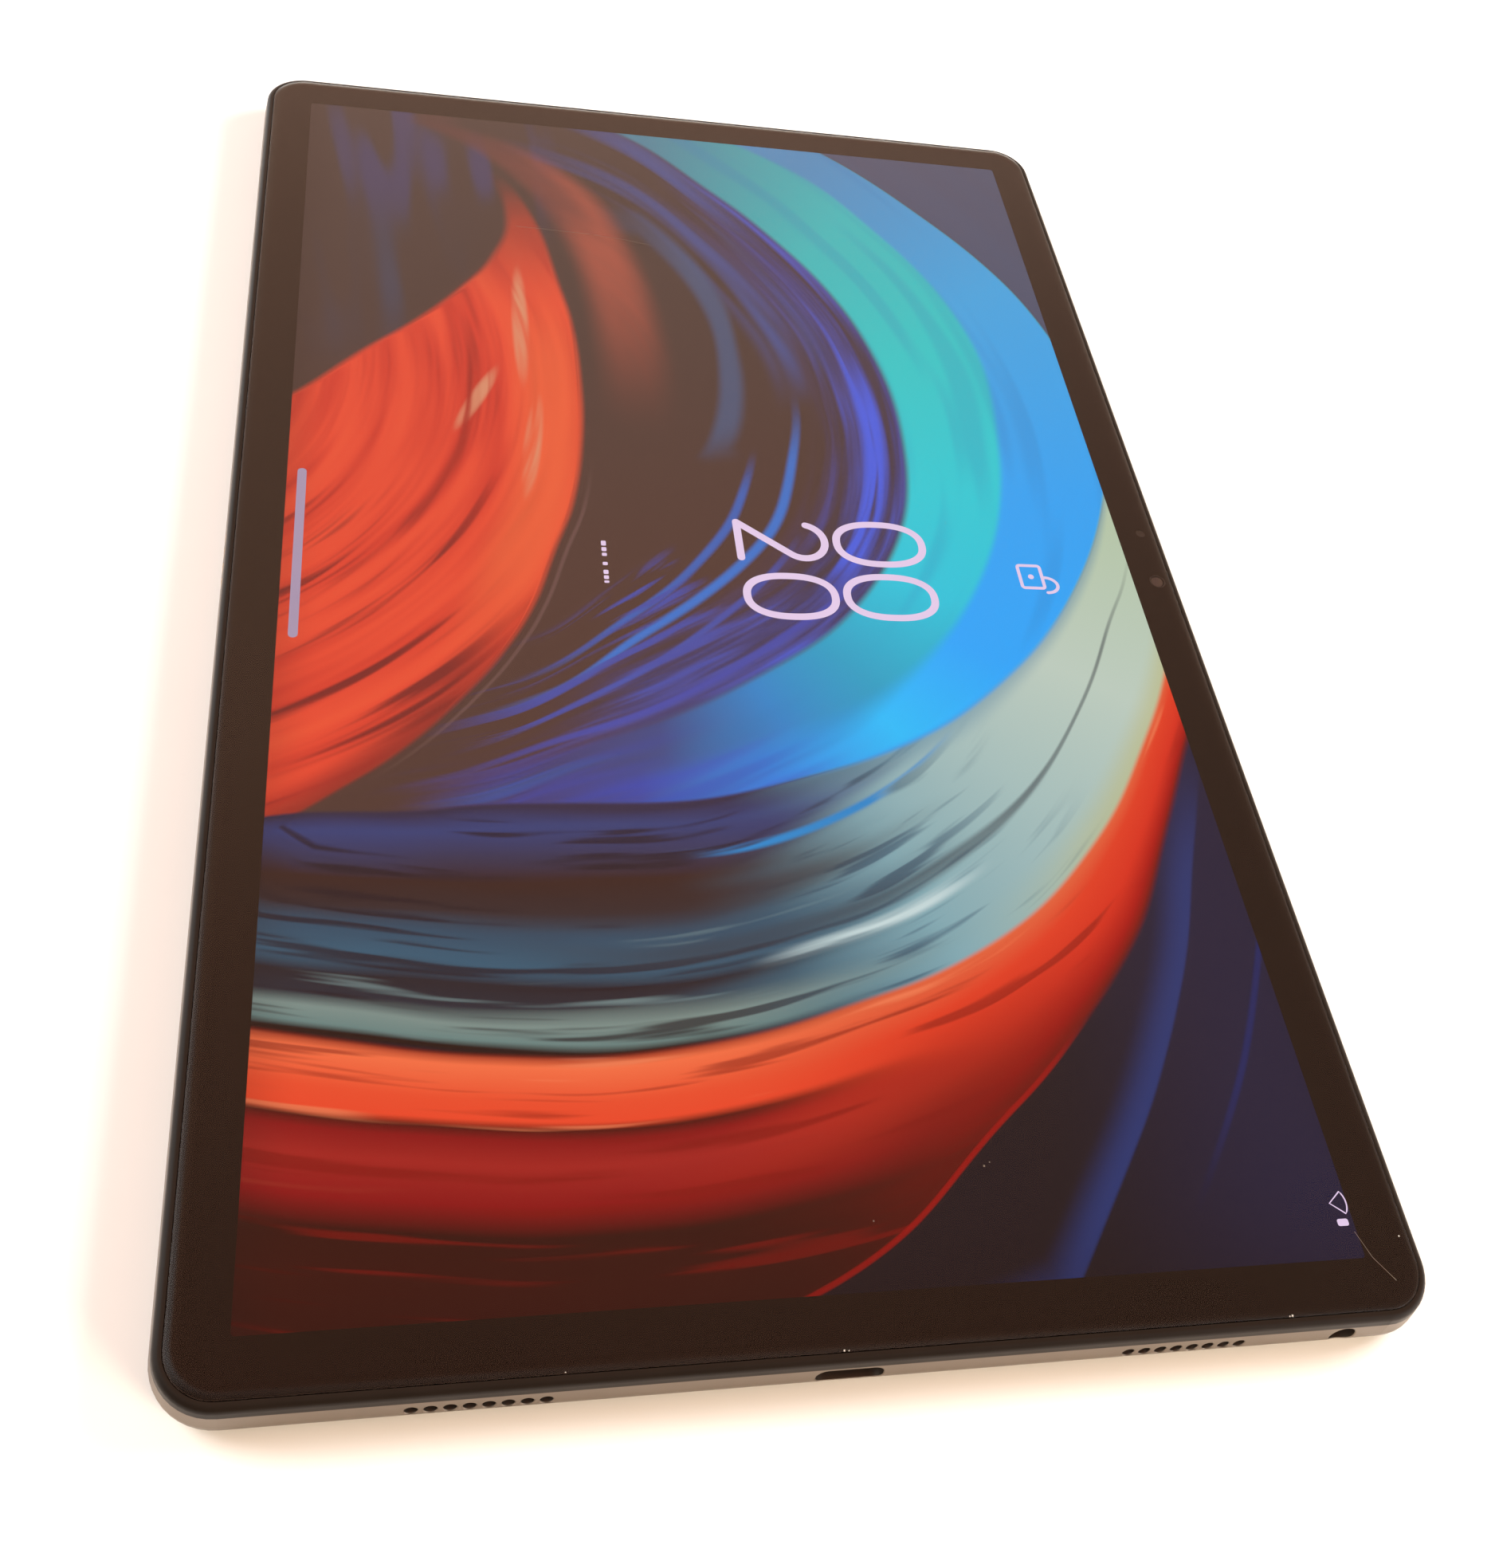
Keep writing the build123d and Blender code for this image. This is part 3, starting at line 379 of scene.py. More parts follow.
for node in nodes.values():
    slot_name = node.data.materials[0].name.split(".")[0]
    node.data.materials[0] = FINISHES[slot_name]


# ---------------------------------------------------------------- the picture
def picture_material():
    """The lock screen's abstract picture: sweeping brush bands, in light."""
    material, tree, shader = new_material("screen_picture")
    x, y, z = place_of(tree)
    waver = (noise(tree, x, y, 0.022, 1.0, 0.5, 4.0) - 0.5) * 3.0

    # Most bands sweep round this centre, to the right of it and below it.
    centre_x, centre_y = -20.0, 20.0
    dx = x - centre_x
    dy = y - centre_y
    reach = (dx * dx + dy * dy)._maths("SQRT") + waver
    turn = dy._maths("ARCTAN2", dx) * (180 / math.pi)

    def sweep(*points):
        """The reach of a smooth line through points, at any turn."""
        polar = []
        for px, py in points:
            px -= centre_x
            py -= centre_y
            polar.append((math.degrees(math.atan2(py, px)), math.hypot(px, py)))
        return curve(tree, turn, sorted(polar))

    def over(amount, colour):
        nonlocal picture
        picture = blend(tree, amount, picture, colour)

    sky_outer = sweep(
        (-14, 148), (34, 125), (60, 98), (75, 68), (77, 30), (62, -5), (36, -31), (2, -46),
        (-28, -49.6), (-56, -51), (-84, -55),
    )
    sky_inner = sweep(
        (-20, 138), (16, 125), (44, 96), (57, 62), (56, 30), (43, -5), (20, -30), (-12, -42),
        (-46, -48), (-80, -56),
    )
    turquoise_inner = sweep(
        (-50, 138), (-11, 125), (12, 102), (30, 74), (37.4, 42), (32, 10), (16, -14), (-8, -30),
        (-46, -46), (-80, -56),
    )
    orange_top = sweep(
        (80, -10), (71, -30), (52, -58), (20, -80), (-20, -90), (-56, -89), (-84, -83)
    )
    red_outer = sweep(
        (82, -20), (71, -45), (54, -75), (30, -100), (-2, -124), (-40, -134), (-84, -130)
    )
    flame_right = curve(
        tree,
        y,
        [
            (-56, -77), (-48, -66), (-40, -56), (-30, -47), (-20, -40), (-10, -35), (2, -31),
            (14, -27), (30, -24.6), (46, -24), (60, -24.6), (74, -27), (90, -30), (112, -40),
        ],
    )
    flame_left = curve(
        tree,
        y,
        [
            (30, -84), (37, -75), (50, -63), (60, -53), (70, -45), (80, -39), (92, -36), (112, -42),
        ],
    )

    at_top = turn.step(92.0, 84.0)

    # Brush marks follow the flame's edge, the upper sweep or the lower arcs.
    from_sky = reach - sky_outer
    from_orange = reach - orange_top
    inward = turquoise_inner - reach
    flame_dx = x + 115.0
    flame_dy = y - 45.0
    flame_flow = (flame_dx * flame_dx + flame_dy * flame_dy)._maths("SQRT") * 0.8
    in_flame = (x - flame_right + waver * 0.3).step(0.9, -0.9) * (x - flame_left).step(-1.2, 1.2)
    in_flame = in_flame * y.step(108.0, 88.0)
    is_low = from_sky.step(-0.3, 0.3) * turn.step(30.0, 20.0)
    flow_across = pick(in_flame, pick(is_low, inward, from_orange), flame_flow)
    flow_along = pick(in_flame, pick(is_low, turn, turn * 1.8), y)
    fine = noise(tree, flow_across / 2.3, flow_along / 46.0, 1.0, 2.0, 0.5, 1.0)
    broad = noise(tree, flow_across / 6.0, flow_along / 60.0, 1.0, 1.0, 0.5, 2.0)

    # Ground: dull brown-black with blue smudges in the upper left.
    smudge = noise(tree, x / 9.0 + y / 70.0, y / 60.0 - x / 90.0, 1.0, 1.0, 0.5, 8.0)
    picture = blend(tree, y.step(-20.0, 90.0), lit(96, 69, 59), lit(90, 70, 62))
    wide_smudge = smudge.step(0.46, 0.72) * y.step(42.0, 70.0) * x.step(-30.0, -52.0)
    over(wide_smudge * 0.7, lit(84, 80, 94))
    over(smudge.step(0.50, 0.62) * y.step(80.0, 104.0) * x.step(-20.0, -40.0), lit(88, 76, 98))

    # Blue-violet strokes that come down from the top edge.
    top_strokes = inward.between(-1.0, 24.0, 4.0) * turn.between(38.0, 92.0, 10.0)
    over(top_strokes * broad.step(0.36, 0.60), lit(88, 92, 142))

    # Indigo band inside the turquoise.
    indigo = inward.step(-0.5, 0.5) * inward.step(26.0, 14.0) * turn.between(-96.0, 70.0, 12.0)
    indigo_tone = ramp(
        tree,
        fine,
        [
            (0.34, lit(88, 70, 78)),
            (0.47, lit(86, 74, 112)),
            (0.58, lit(90, 84, 146)),
            (0.72, lit(90, 98, 200)),
        ],
    )
    over(indigo * inward.step(21.0, 6.0), indigo_tone)
    bright = inward.between(4.4, 8.6, 1.2) * turn.between(-30.0, 30.0, 10.0)
    over(bright * fine.step(0.32, 0.52), lit(90, 104, 222))

    # A soft steel-blue stroke and a green-grey one in the dark heart.
    steel = sweep((-9, 94), (4, 70), (5, 48), (0, 28))
    steel_mask = (reach - steel).size().step(5.5, 1.5) * turn.between(24.0, 80.0, 12.0)
    over(steel_mask * 0.7, lit(90, 102, 134))

    # Light blue arcs, drawn out to hairs towards the lower left.
    light_arcs = (
        (1.5, -104, 22, (78, 122, 204), (17, 64), (17, 44), (11, 16), (-7, -8), (-34, -29), (-66, -48)),
        (1.3, -102, 6, (80, 106, 182), (9, 54), (8, 34), (1, 12), (-12, -6), (-34, -24), (-64, -42)),
        (1.0, -104, -30, (88, 92, 170), (18, 30), (14, 12), (0, -9), (-18, -24), (-42, -38), (-72, -50)),
        (1.1, -108, -26, (88, 86, 168), (32, 20), (25, 2), (6, -17), (-20, -33), (-50, -45), (-80, -54)),
    )
    for width, first, last, tone, *path in light_arcs:
        arc = (reach - sweep(*path)).size().step(width, width * 0.2)
        over(arc * turn.between(first, last, 14.0) * (broad * 0.5 + 0.7), lit(*tone))
    hairs = inward.between(3.0, 30.0, 3.0) * turn.between(-112.0, -64.0, 10.0)
    over(hairs * fine.step(0.50, 0.66), lit(88, 88, 164))

    # Turquoise and sky-blue bands, which run into one deep blue tip.
    along_band = turn * (1 / 200) + 0.54
    turquoise_tone = ramp(
        tree,
        along_band,
        [
            (0.02, lit(87, 74, 113)),
            (0.11, lit(82, 84, 134)),
            (0.21, lit(72, 138, 202)),
            (0.30, lit(64, 164, 200)),
            (0.42, lit(66, 200, 222)),
            (0.54, lit(57, 206, 216)),
            (0.70, lit(65, 202, 201)),
            (0.82, lit(75, 188, 188)),
            (0.95, lit(88, 135, 154)),
        ],
    )
    in_band = inward.step(0.9, -0.9) * from_sky.step(0.5, -0.5)
    in_band = in_band * turn.step(-118.0, -106.0) * at_top
    over(in_band, turquoise_tone)
    sky_tone = ramp(
        tree,
        along_band,
        [
            (0.02, lit(87, 74, 113)),
            (0.09, lit(83, 84, 159)),
            (0.18, lit(74, 134, 222)),
            (0.28, lit(61, 192, 253)),
            (0.38, lit(64, 170, 253)),
            (0.54, lit(70, 168, 246)),
            (0.72, lit(80, 169, 226)),
            (0.86, lit(91, 144, 188)),
        ],
    )
    sky_soft = turn.step(-20.0, -60.0) * 2.0 + 1.0
    in_sky = ((reach - sky_inner) / sky_soft).step(-0.9, 0.9) * from_sky.step(0.5, -0.5)
    over(in_sky * turn.step(-118.0, -104.0) * at_top, sky_tone)
    depth = from_sky.step(-16.0, -1.0) * turn.between(-112.0, -66.0, 8.0)
    over(depth * fine.step(0.42, 0.62) * 0.5, lit(78, 84, 186))
    over(in_band * broad.step(0.50, 0.34) * 0.22, lit(40, 120, 180))

    # The corner beyond the blue band.
    far_corner = from_sky.step(-0.5, 0.9) * turn.step(14.0, 22.0) * at_top
    over(far_corner, blend(tree, broad, lit(90, 86, 104), lit(92, 94, 116)))

    # Brown-red stroke beside the flame.
    brown_path = curve(
        tree, y, [(40, -12), (58, -12), (72, -13.5), (88, -17), (104, -24), (122, -46)]
    )
    brown = (x - brown_path + waver).between(-7.0, 3.6, 3.4)
    brown = brown * y.step(30.0, 84.0) * y.step(124.0, 100.0)
    over(brown * (fine * 0.5 + 0.65), lit(176, 92, 74))
    brown_top = (x - brown_path + 4.0).between(-4.0, 4.0, 3.0) * y.between(92.0, 126.0, 8.0)
    over(brown_top * 0.7, lit(110, 73, 66))

    # Flame.
    flame_tone = ramp(
        tree,
        fine * 0.55 + broad * 0.45,
        [
            (0.30, lit(160, 54, 44)),
            (0.42, lit(214, 70, 53)),
            (0.54, lit(234, 84, 59)),
            (0.68, lit(240, 92, 62)),
        ],
    )
    hot = (x - flame_right).between(-11.0, -0.5, 3.5) * y.between(-12.0, 62.0, 16.0)
    flame_tone = blend(tree, hot * 0.7, flame_tone, lit(242, 108, 68))
    flame_tone = blend(tree, y.step(62.0, 96.0) * 0.8, flame_tone, lit(158, 74, 58))
    for spot_x, spot_y, lean, length in (
        (-34.5, 60.0, 0.0, 19.0),
        (-33.5, 27.0, 0.12, 15.0),
        (-43.0, 39.0, 0.45, 10.0),
    ):
        ahead = (y - spot_y) / length
        aside = (x - spot_x - (y - spot_y) * lean) / 1.9
        gleam = (ahead * ahead + aside * aside).step(1.0, 0.1) * fine.step(0.34, 0.58)
        flame_tone = blend(tree, gleam * 0.85, flame_tone, lit(222, 154, 118))
    rifts = fine.step(0.46, 0.34) * x.step(-38.0, -50.0) * y.step(22.0, -4.0)
    flame_tone = blend(tree, rifts * 0.85, flame_tone, lit(116, 54, 48))
    flame_foot = (x - flame_right).step(-9.0, -0.5) * y.step(-6.0, -36.0)
    flame_tone = blend(tree, flame_foot * 0.7, flame_tone, lit(128, 56, 48))
    over(in_flame, flame_tone)
    flame_hair = (x - flame_right - 2.2).size().step(0.6, 0.1) * y.between(-40.0, 16.0, 10.0)
    over(flame_hair * 0.4, lit(140, 104, 98))

    # Lower arcs, from the sky band's rim down to the orange: navy, dark, teal, dark, sage.
    share = from_sky / (orange_top - sky_outer)
    left_tone = ramp(
        tree,
        share + (broad - 0.5) * 0.10,
        [
            (0.02, lit(74, 60, 76)),
            (0.10, lit(76, 76, 120)),
            (0.24, lit(78, 66, 84)),
            (0.34, lit(80, 55, 46)),
            (0.47, lit(78, 60, 56)),
            (0.56, lit(76, 88, 104)),
            (0.68, lit(80, 100, 118)),
            (0.75, lit(70, 56, 54)),
            (0.83, lit(72, 62, 64)),
            (0.88, lit(136, 148, 140)),
            (0.95, lit(120, 138, 132)),
            (0.985, lit(70, 44, 40)),
        ],
    )
    left_tone = blend(tree, fine.step(0.46, 0.34) * 0.8, left_tone, lit(66, 50, 48))
    pale_threads = fine.step(0.60, 0.74) * share.step(0.5, 0.6)
    left_tone = blend(tree, pale_threads * 0.6, left_tone, lit(142, 160, 158))
    right_tone = ramp(
        tree,
        turn * (1 / 90) + 1.0,
        [
            (0.12, lit(92, 122, 140)),
            (0.28, lit(140, 174, 182)),
            (0.48, lit(174, 196, 192)),
            (0.68, lit(196, 209, 195)),
            (0.95, lit(189, 204, 175)),
        ],
    )
    straw = share.step(0.80, 1.0) * turn.step(-66.0, -40.0)
    right_tone = blend(tree, straw * 0.6, right_tone, lit(196, 190, 128))
    slate = fine.step(0.46, 0.36) * turn.step(-40.0, -66.0)
    right_tone = blend(tree, slate * 0.8, right_tone, lit(84, 104, 122))
    right_tone = blend(tree, share.step(0.16, 0.0) * 0.5, right_tone, lit(96, 140, 168))
    is_left = (turn + (broad - 0.5) * 26.0 + share * 14.0).step(-50.0, -80.0)
    low_tone = blend(tree, is_left, right_tone, left_tone)
    over(from_sky.step(-0.5, 0.5) * turn.step(26.0, 14.0), low_tone)
    lane = sweep((84, 24), (74, 0), (60, -26), (36, -54), (4, -71), (-24, -76))
    lane_width = turn.step(-34.0, -80.0) * 2.4 + 0.5
    lane_mask = ((reach - lane) / lane_width).size().step(1.0, 0.2)
    lane_mask = lane_mask * turn.between(-96.0, -14.0, 10.0)
    over(lane_mask * (fine * 0.6 + 0.35), lit(78, 76, 82))
    pale = (reach - lane - 3.6).size().step(1.6, 0.3) * turn.between(-78.0, -60.0, 5.0)
    over(pale * fine.step(0.36, 0.56), lit(206, 222, 222))
    glint = (reach - sweep((34, -34), (18, -48), (0, -56), (-12, -58))).size().step(1.1, 0.2)
    over(glint * turn.between(-84.0, -50.0, 5.0) * fine.step(0.34, 0.5), lit(68, 140, 204))
    rim = from_sky.between(-0.4, 0.4, 0.5) * turn.between(-62.0, -22.0, 8.0)
    over(rim * 0.7, lit(54, 170, 250))

    # Orange and red bands.
    band_left = ramp(
        tree,
        from_orange * (1 / 34),
        [
            (0.00, lit(150, 60, 44)),
            (0.05, lit(250, 120, 78)),
            (0.20, lit(240, 90, 58)),
            (0.28, lit(240, 86, 56)),
            (0.315, lit(96, 38, 32)),
            (0.36, lit(150, 48, 42)),
            (0.46, lit(172, 58, 48)),
            (0.62, lit(150, 48, 42)),
            (0.74, lit(80, 38, 30)),
            (0.95, lit(84, 38, 31)),
        ],
    )
    red_share = from_orange / (red_outer - orange_top)
    band_right = ramp(
        tree,
        red_share,
        [
            (0.00, lit(232, 110, 72)),
            (0.25, lit(231, 76, 50)),
            (0.60, lit(222, 66, 46)),
            (0.85, lit(180, 44, 34)),
            (0.98, lit(130, 40, 34)),
        ],
    )
    dusk = turn.step(-48.0, -84.0) * red_share.step(0.2, 0.8)
    band_right = blend(tree, dusk, band_right, lit(110, 36, 30))
    is_band_left = (turn + (broad - 0.5) * 20.0).step(-66.0, -90.0)
    orange_tone = blend(tree, is_band_left, band_right, band_left)
    orange_tone = blend(tree, fine.step(0.44, 0.34) * 0.6, orange_tone, lit(140, 42, 32))
    embers = fine.step(0.62, 0.74) * red_share.step(0.5, 0.2)
    orange_tone = blend(tree, embers * 0.6, orange_tone, lit(250, 140, 96))
    over(from_orange.step(-0.5, 0.6) * turn.step(-6.0, -16.0), orange_tone)

    # Navy corner with blue strokes beyond the red.
    beyond = (reach - red_outer).step(-0.6, 0.8)
    beyond = beyond * turn.step(-94.0, -84.0) * turn.step(-12.0, -20.0)
    near_black = (0.002, 0.003, 0.008, 1.0)
    navy = (0.004, 0.008, 0.036, 1.0)
    corner_tone = blend(tree, x.step(30.0, 70.0), near_black, navy)
    over(beyond, corner_tone)
    blue_path = sweep((82, -20), (71, -54), (56, -90), (30, -128))
    from_blue = reach - blue_path
    blue = from_blue.step(-7.0, 0.0) * from_blue.step(0.9, 0.1)
    blue = blue * turn.between(-76.0, -38.0, 8.0) * beyond
    over(blue, (0.008, 0.030, 0.148, 1.0))
    second = (reach - blue_path - 13.0).size().step(0.9, 0.2) * turn.between(-58.0, -40.0, 5.0)
    over(second * 0.6, lit(62, 62, 112))
    thin = (reach - red_outer).size().step(0.6, 0.2) * turn.between(-88.0, -62.0, 4.0)
    over(thin * 0.7, lit(176, 44, 36))

    # The picture dims a little at its left and lower rims.
    rim_shade = x.step(-68.0, -80.0) * 0.35 + y.step(-112.0, -134.0) * 0.4
    over(rim_shade.clamped(), lit(66, 48, 40))

    shader.inputs["Base Color"].default_value = (0.0, 0.0, 0.0, 1.0)
    shader.inputs["Roughness"].default_value = 0.35
    shader.inputs["Specular IOR Level"].default_value = 0.0
    tree.links.new(picture, shader.inputs["Emission Color"])
    shader.inputs["Emission Strength"].default_value = 1.0
    return material


# --------------------------------------------------------------------- shapes
def mesh_piece(name, vertices, faces, material, slot_name, body="tablet"):
    """A piece from points in millimetres."""
    mesh = bpy.data.meshes.new(name)
    mesh.from_pydata([Vector(v) * MM for v in vertices], [], faces)
    mesh.materials.append(material)
    mesh.validate()
    piece = bpy.data.objects.new(name, mesh)
    bpy.context.scene.collection.objects.link(piece)
    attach(piece, body)
    return piece


def rounded_outline(width, length, radius, steps=10):
    """Points round a rectangle with round corners, anticlockwise."""
    points = []
    for quarter, (sx, sy) in enumerate(((1, 1), (-1, 1), (-1, -1), (1, -1))):
        cx = sx * (width / 2 - radius)
        cy = sy * (length / 2 - radius)
        for k in range(steps + 1):
            a = (quarter + k / steps) * math.pi / 2
            points.append((cx + radius * math.cos(a), cy + radius * math.sin(a)))
    return points


def plate(points, bottom, top):
    """Vertices and faces of a flat plate with that outline."""
    n = len(points)
    vertices = [(px, py, bottom) for px, py in points] + [(px, py, top) for px, py in points]
    faces = [tuple(reversed(range(n))), tuple(range(n, 2 * n))]
    faces += [(k, (k + 1) % n, n + (k + 1) % n, n + k) for k in range(n)]
    return vertices, faces


def hoop(outer, inner, bottom, top):
    """Vertices and faces of a flat ring between two outlines with as many points each."""
    n = len(outer)
    vertices = []
    for z in (bottom, top):
        vertices += [(px, py, z) for px, py in outer]
        vertices += [(px, py, z) for px, py in inner]
    faces = []
    for k in range(n):
        m = (k + 1) % n
        faces.append((2 * n + k, 2 * n + m, 3 * n + m, 3 * n + k))
        faces.append((k, n + k, n + m, m))
        faces.append((k, m, 2 * n + m, 2 * n + k))
        faces.append((n + k, 3 * n + k, 3 * n + m, n + m))
    return vertices, faces


def joined(*shapes):
    """Several (vertices, faces) as one."""
    vertices, faces = [], []
    for some_vertices, some_faces in shapes:
        start = len(vertices)
        vertices += some_vertices
        faces += [tuple(start + k for k in face) for face in some_faces]
    return vertices, faces


CAP_STEPS = 8


def pen_stroke(path, width, bottom, top, closed=False):
    """A line of even width along a path of points, with round ends."""
    n = len(path)
    half = width / 2
    left, right = [], []
    for k, (px, py) in enumerate(path):
        before = path[(k - 1) % n] if closed or k > 0 else path[k]
        after = path[(k + 1) % n] if closed or k < n - 1 else path[k]
        dx, dy = after[0] - before[0], after[1] - before[1]
        size = math.hypot(dx, dy) or 1.0
        left.append((px - dy / size * half, py + dx / size * half))
        right.append((px + dy / size * half, py - dx / size * half))
    if closed:
        return hoop(right, left, bottom, top)
    first, last = path[0], path[-1]
    start_angle = math.atan2(right[0][1] - first[1], right[0][0] - first[0])
    end_angle = math.atan2(left[-1][1] - last[1], left[-1][0] - last[0])

    def cap(middle, angle):
        """Points round an end, between the stroke's two sides."""
        turns = [angle - math.pi * k / CAP_STEPS for k in range(1, CAP_STEPS)]
        return [(middle[0] + half * math.cos(a), middle[1] + half * math.sin(a)) for a in turns]

    outline_points = right[::-1] + cap(first, start_angle) + left + cap(last, end_angle)
    return plate(outline_points[::-1], bottom, top)


def arc_points(cx, cy, rx, ry, first, last, steps=24):
    """Points on an ellipse from angle first to last, in degrees."""
    points = []
    for k in range(steps + 1):
        a = math.radians(first + (last - first) * k / steps)
        points.append((cx + rx * math.cos(a), cy + ry * math.sin(a)))
    return points


# ------------------------------------------------------------ the lit display
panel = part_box("lcd_panel")
panel_width = (panel[1][0] - panel[0][0]) / MM
panel_length = (panel[1][1] - panel[0][1]) / MM
panel_bottom = panel[0][2] / MM
screen_picture = mesh_piece(
    "screen_picture",
    *plate(rounded_outline(panel_width, panel_length, 1.5), panel_bottom, PICTURE_TOP),
    picture_material(),
    "display_panel",
)
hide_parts("lcd_panel")


def border_piece():
    """The black print under the glass, open over the lit screen, the camera and the sensor."""
    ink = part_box("display_adhesive")
    width = (ink[1][0] - ink[0][0]) / MM
    length = (ink[1][1] - ink[0][1]) / MM
    outer = rounded_outline(width, length, 6.1, 24)
    inner = rounded_outline(2 * ACTIVE_X, 2 * ACTIVE_Y, 0.6, 24)
    vertices, faces = hoop(outer, inner, PICTURE_TOP + 0.005, PRINT_TOP)
    piece = mesh_piece("border_print", vertices, faces, FINISHES["adhesive"], "adhesive")
    for name, at_x, at_y, radius in BORDER_OPENINGS:
        bpy.ops.mesh.primitive_cylinder_add(
            vertices=48,
            radius=radius * MM,
            depth=2 * MM,
            location=(at_x * MM, at_y * MM, PICTURE_TOP * MM),
        )
        cutter = bpy.context.object
        cutter.name = name
        modifier = piece.modifiers.new(name, "BOOLEAN")
        modifier.object = cutter
        modifier.operation = "DIFFERENCE"
        bpy.context.view_layer.objects.active = piece
        with bpy.context.temp_override(object=piece, active_object=piece):
            bpy.ops.object.modifier_apply(modifier=name)
        bpy.data.objects.remove(cutter)
    return piece


border_print = border_piece()
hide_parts("display_adhesive")


def glow(name, colour):
    """The even light of a mark on the screen."""
    material, tree, shader = new_material(name)
    x, y, z = place_of(tree)
    shimmer = noise(tree, x, y, 0.15, 2.0, 0.5, 2.0)
    softer = tuple(c * 0.93 for c in colour[:3]) + (1.0,)
    tree.links.new(blend(tree, shimmer, softer, colour), shader.inputs["Emission Color"])
    shader.inputs["Emission Strength"].default_value = 1.0
    shader.inputs["Base Color"].default_value = (0.0, 0.0, 0.0, 1.0)
    shader.inputs["Roughness"].default_value = 0.4
    shader.inputs["Specular IOR Level"].default_value = 0.0
    return material


MARK_LIGHT = glow("mark_light", rgb(232, 208, 240))
DIM_LIGHT = glow("dim_light", rgb(168, 150, 178))


def digit_zero(x_low, x_high, y_left, y_right):
    """An upright oval: it reads with +X up and -Y to the right."""
    cx, cy = (x_low + x_high) / 2, (y_left + y_right) / 2
    half_height = (x_high - x_low) / 2 - STROKE / 2
    half_breadth = abs(y_left - y_right) / 2 - STROKE / 2
    path = []
    for k in range(64):
        a = 2 * math.pi * k / 64
        c, s = math.cos(a), math.sin(a)
        path.append(
            (
                cx + half_height * math.copysign(abs(c) ** 0.84, c),
                cy + half_breadth * math.copysign(abs(s) ** 0.84, s),
            )
        )
    return pen_stroke(path, STROKE, MARKS_BOTTOM, MARKS_TOP, closed=True)


def digit_two(x_low, x_high, y_left, y_right):
    """A 2 with a round top, a straight diagonal and a flat foot."""
    half = STROKE / 2
    head = (y_left - y_right) / 2 - half
    cy = (y_left + y_right) / 2
    cx = x_high - half - head
    path = []
    for k in range(22):
        a = math.radians(-75 + 205 * k / 21)
        path.append((cx + head * math.cos(a), cy - head * math.sin(a)))
    path.append((x_low + half, y_left - half))
    foot = [(x_low + half, y_left - half), (x_low + half, y_right + half * 0.5)]
    return joined(
        pen_stroke(path, STROKE, MARKS_BOTTOM, MARKS_TOP),
        pen_stroke(foot, STROKE, MARKS_BOTTOM, MARKS_TOP),
    )


STROKE = 1.4
LOCK_STROKE = 0.62
mesh_piece(
    "clock_digits",
    *joined(
        digit_zero(18.8, 36.2, 11.95, 0.95),
        digit_zero(18.8, 36.2, -0.7, -11.5),
        digit_two(0.9, 18.0, 11.2, 1.7),
        digit_zero(0.9, 18.0, -1.25, -11.9),
    ),
    MARK_LIGHT,
    "display_panel",
)

LOCK_X = 55.05
lock_square = [
    (px + LOCK_X, py) for px, py in rounded_outline(4.9 - LOCK_STROKE, 6.0 - LOCK_STROKE, 0.5)
]
lock_dot = [(px + LOCK_X, py) for px, py in rounded_outline(1.1, 1.1, 0.54)]
shackle = arc_points(57.5, -1.9, 2.3, 1.8, -90, 90) + [(57.5, -0.1)]
mesh_piece(
    "lock_icon",
    *joined(
        pen_stroke(lock_square, LOCK_STROKE, MARKS_BOTTOM, MARKS_TOP, closed=True),
        plate(lock_dot, MARKS_BOTTOM, MARKS_TOP),
        pen_stroke(shackle, LOCK_STROKE, MARKS_BOTTOM, MARKS_TOP),
    ),
    MARK_LIGHT,
    "display_panel",
)

mesh_piece(
    "home_bar",
    *plate(
        [(px - 72.7, py) for px, py in rounded_outline(1.5, 37.2, 0.74)], MARKS_BOTTOM, MARKS_TOP
    ),
    DIM_LIGHT,
    "display_panel",
)

# A row of short dashes where the date would stand.
DASHES = ((4.1, 1.1), (2.7, 0.9), (1.5, 0.7), (-0.6, 0.7), (-2.5, 0.9), (-3.7, 0.8), (-4.7, 0.5))
dash_shapes = []
for centre_y, length in DASHES:
    dash = [(px - 22.4, py + centre_y) for px, py in rounded_outline(0.85, length, 0.2, 4)]
    dash_shapes.append(plate(dash, MARKS_BOTTOM, MARKS_TOP))
mesh_piece("date_marks", *joined(*dash_shapes), MARK_LIGHT, "display_panel")

fan_low = (72.4, -117.3)
signal = [fan_low] + arc_points(fan_low[0], fan_low[1], 2.6, 2.6, -38, 38, 8)
battery_blob = [(px + 73.5, py - 120.1) for px, py in rounded_outline(1.7, 1.0, 0.3, 4)]
mesh_piece(
    "status_icons",
    *joined(
        pen_stroke(signal, 0.2, MARKS_BOTTOM, MARKS_TOP, closed=True),
        plate(battery_blob, MARKS_BOTTOM, MARKS_TOP),
    ),
    MARK_LIGHT,
    "display_panel",
)

# Fine scratches, dust and two nicks in the rim of the glass.
WEAR_BOTTOM = 7.38
WEAR_TOP = 7.399
WEAR = solid("wear_pale", rgb(196, 186, 172), 0.7, specular=0.2)


def speck(at_x, at_y, radius, low=WEAR_BOTTOM, high=WEAR_TOP):
    """A crumb with an uneven outline."""
    corners = []
    for k in range(9):
        a = 2 * math.pi * k / 9
        r = radius * (0.75 + 0.3 * math.sin(3.1 * k + at_x))
        corners.append((at_x + r * math.cos(a), at_y + r * math.sin(a)))
    return plate(corners, low, high)


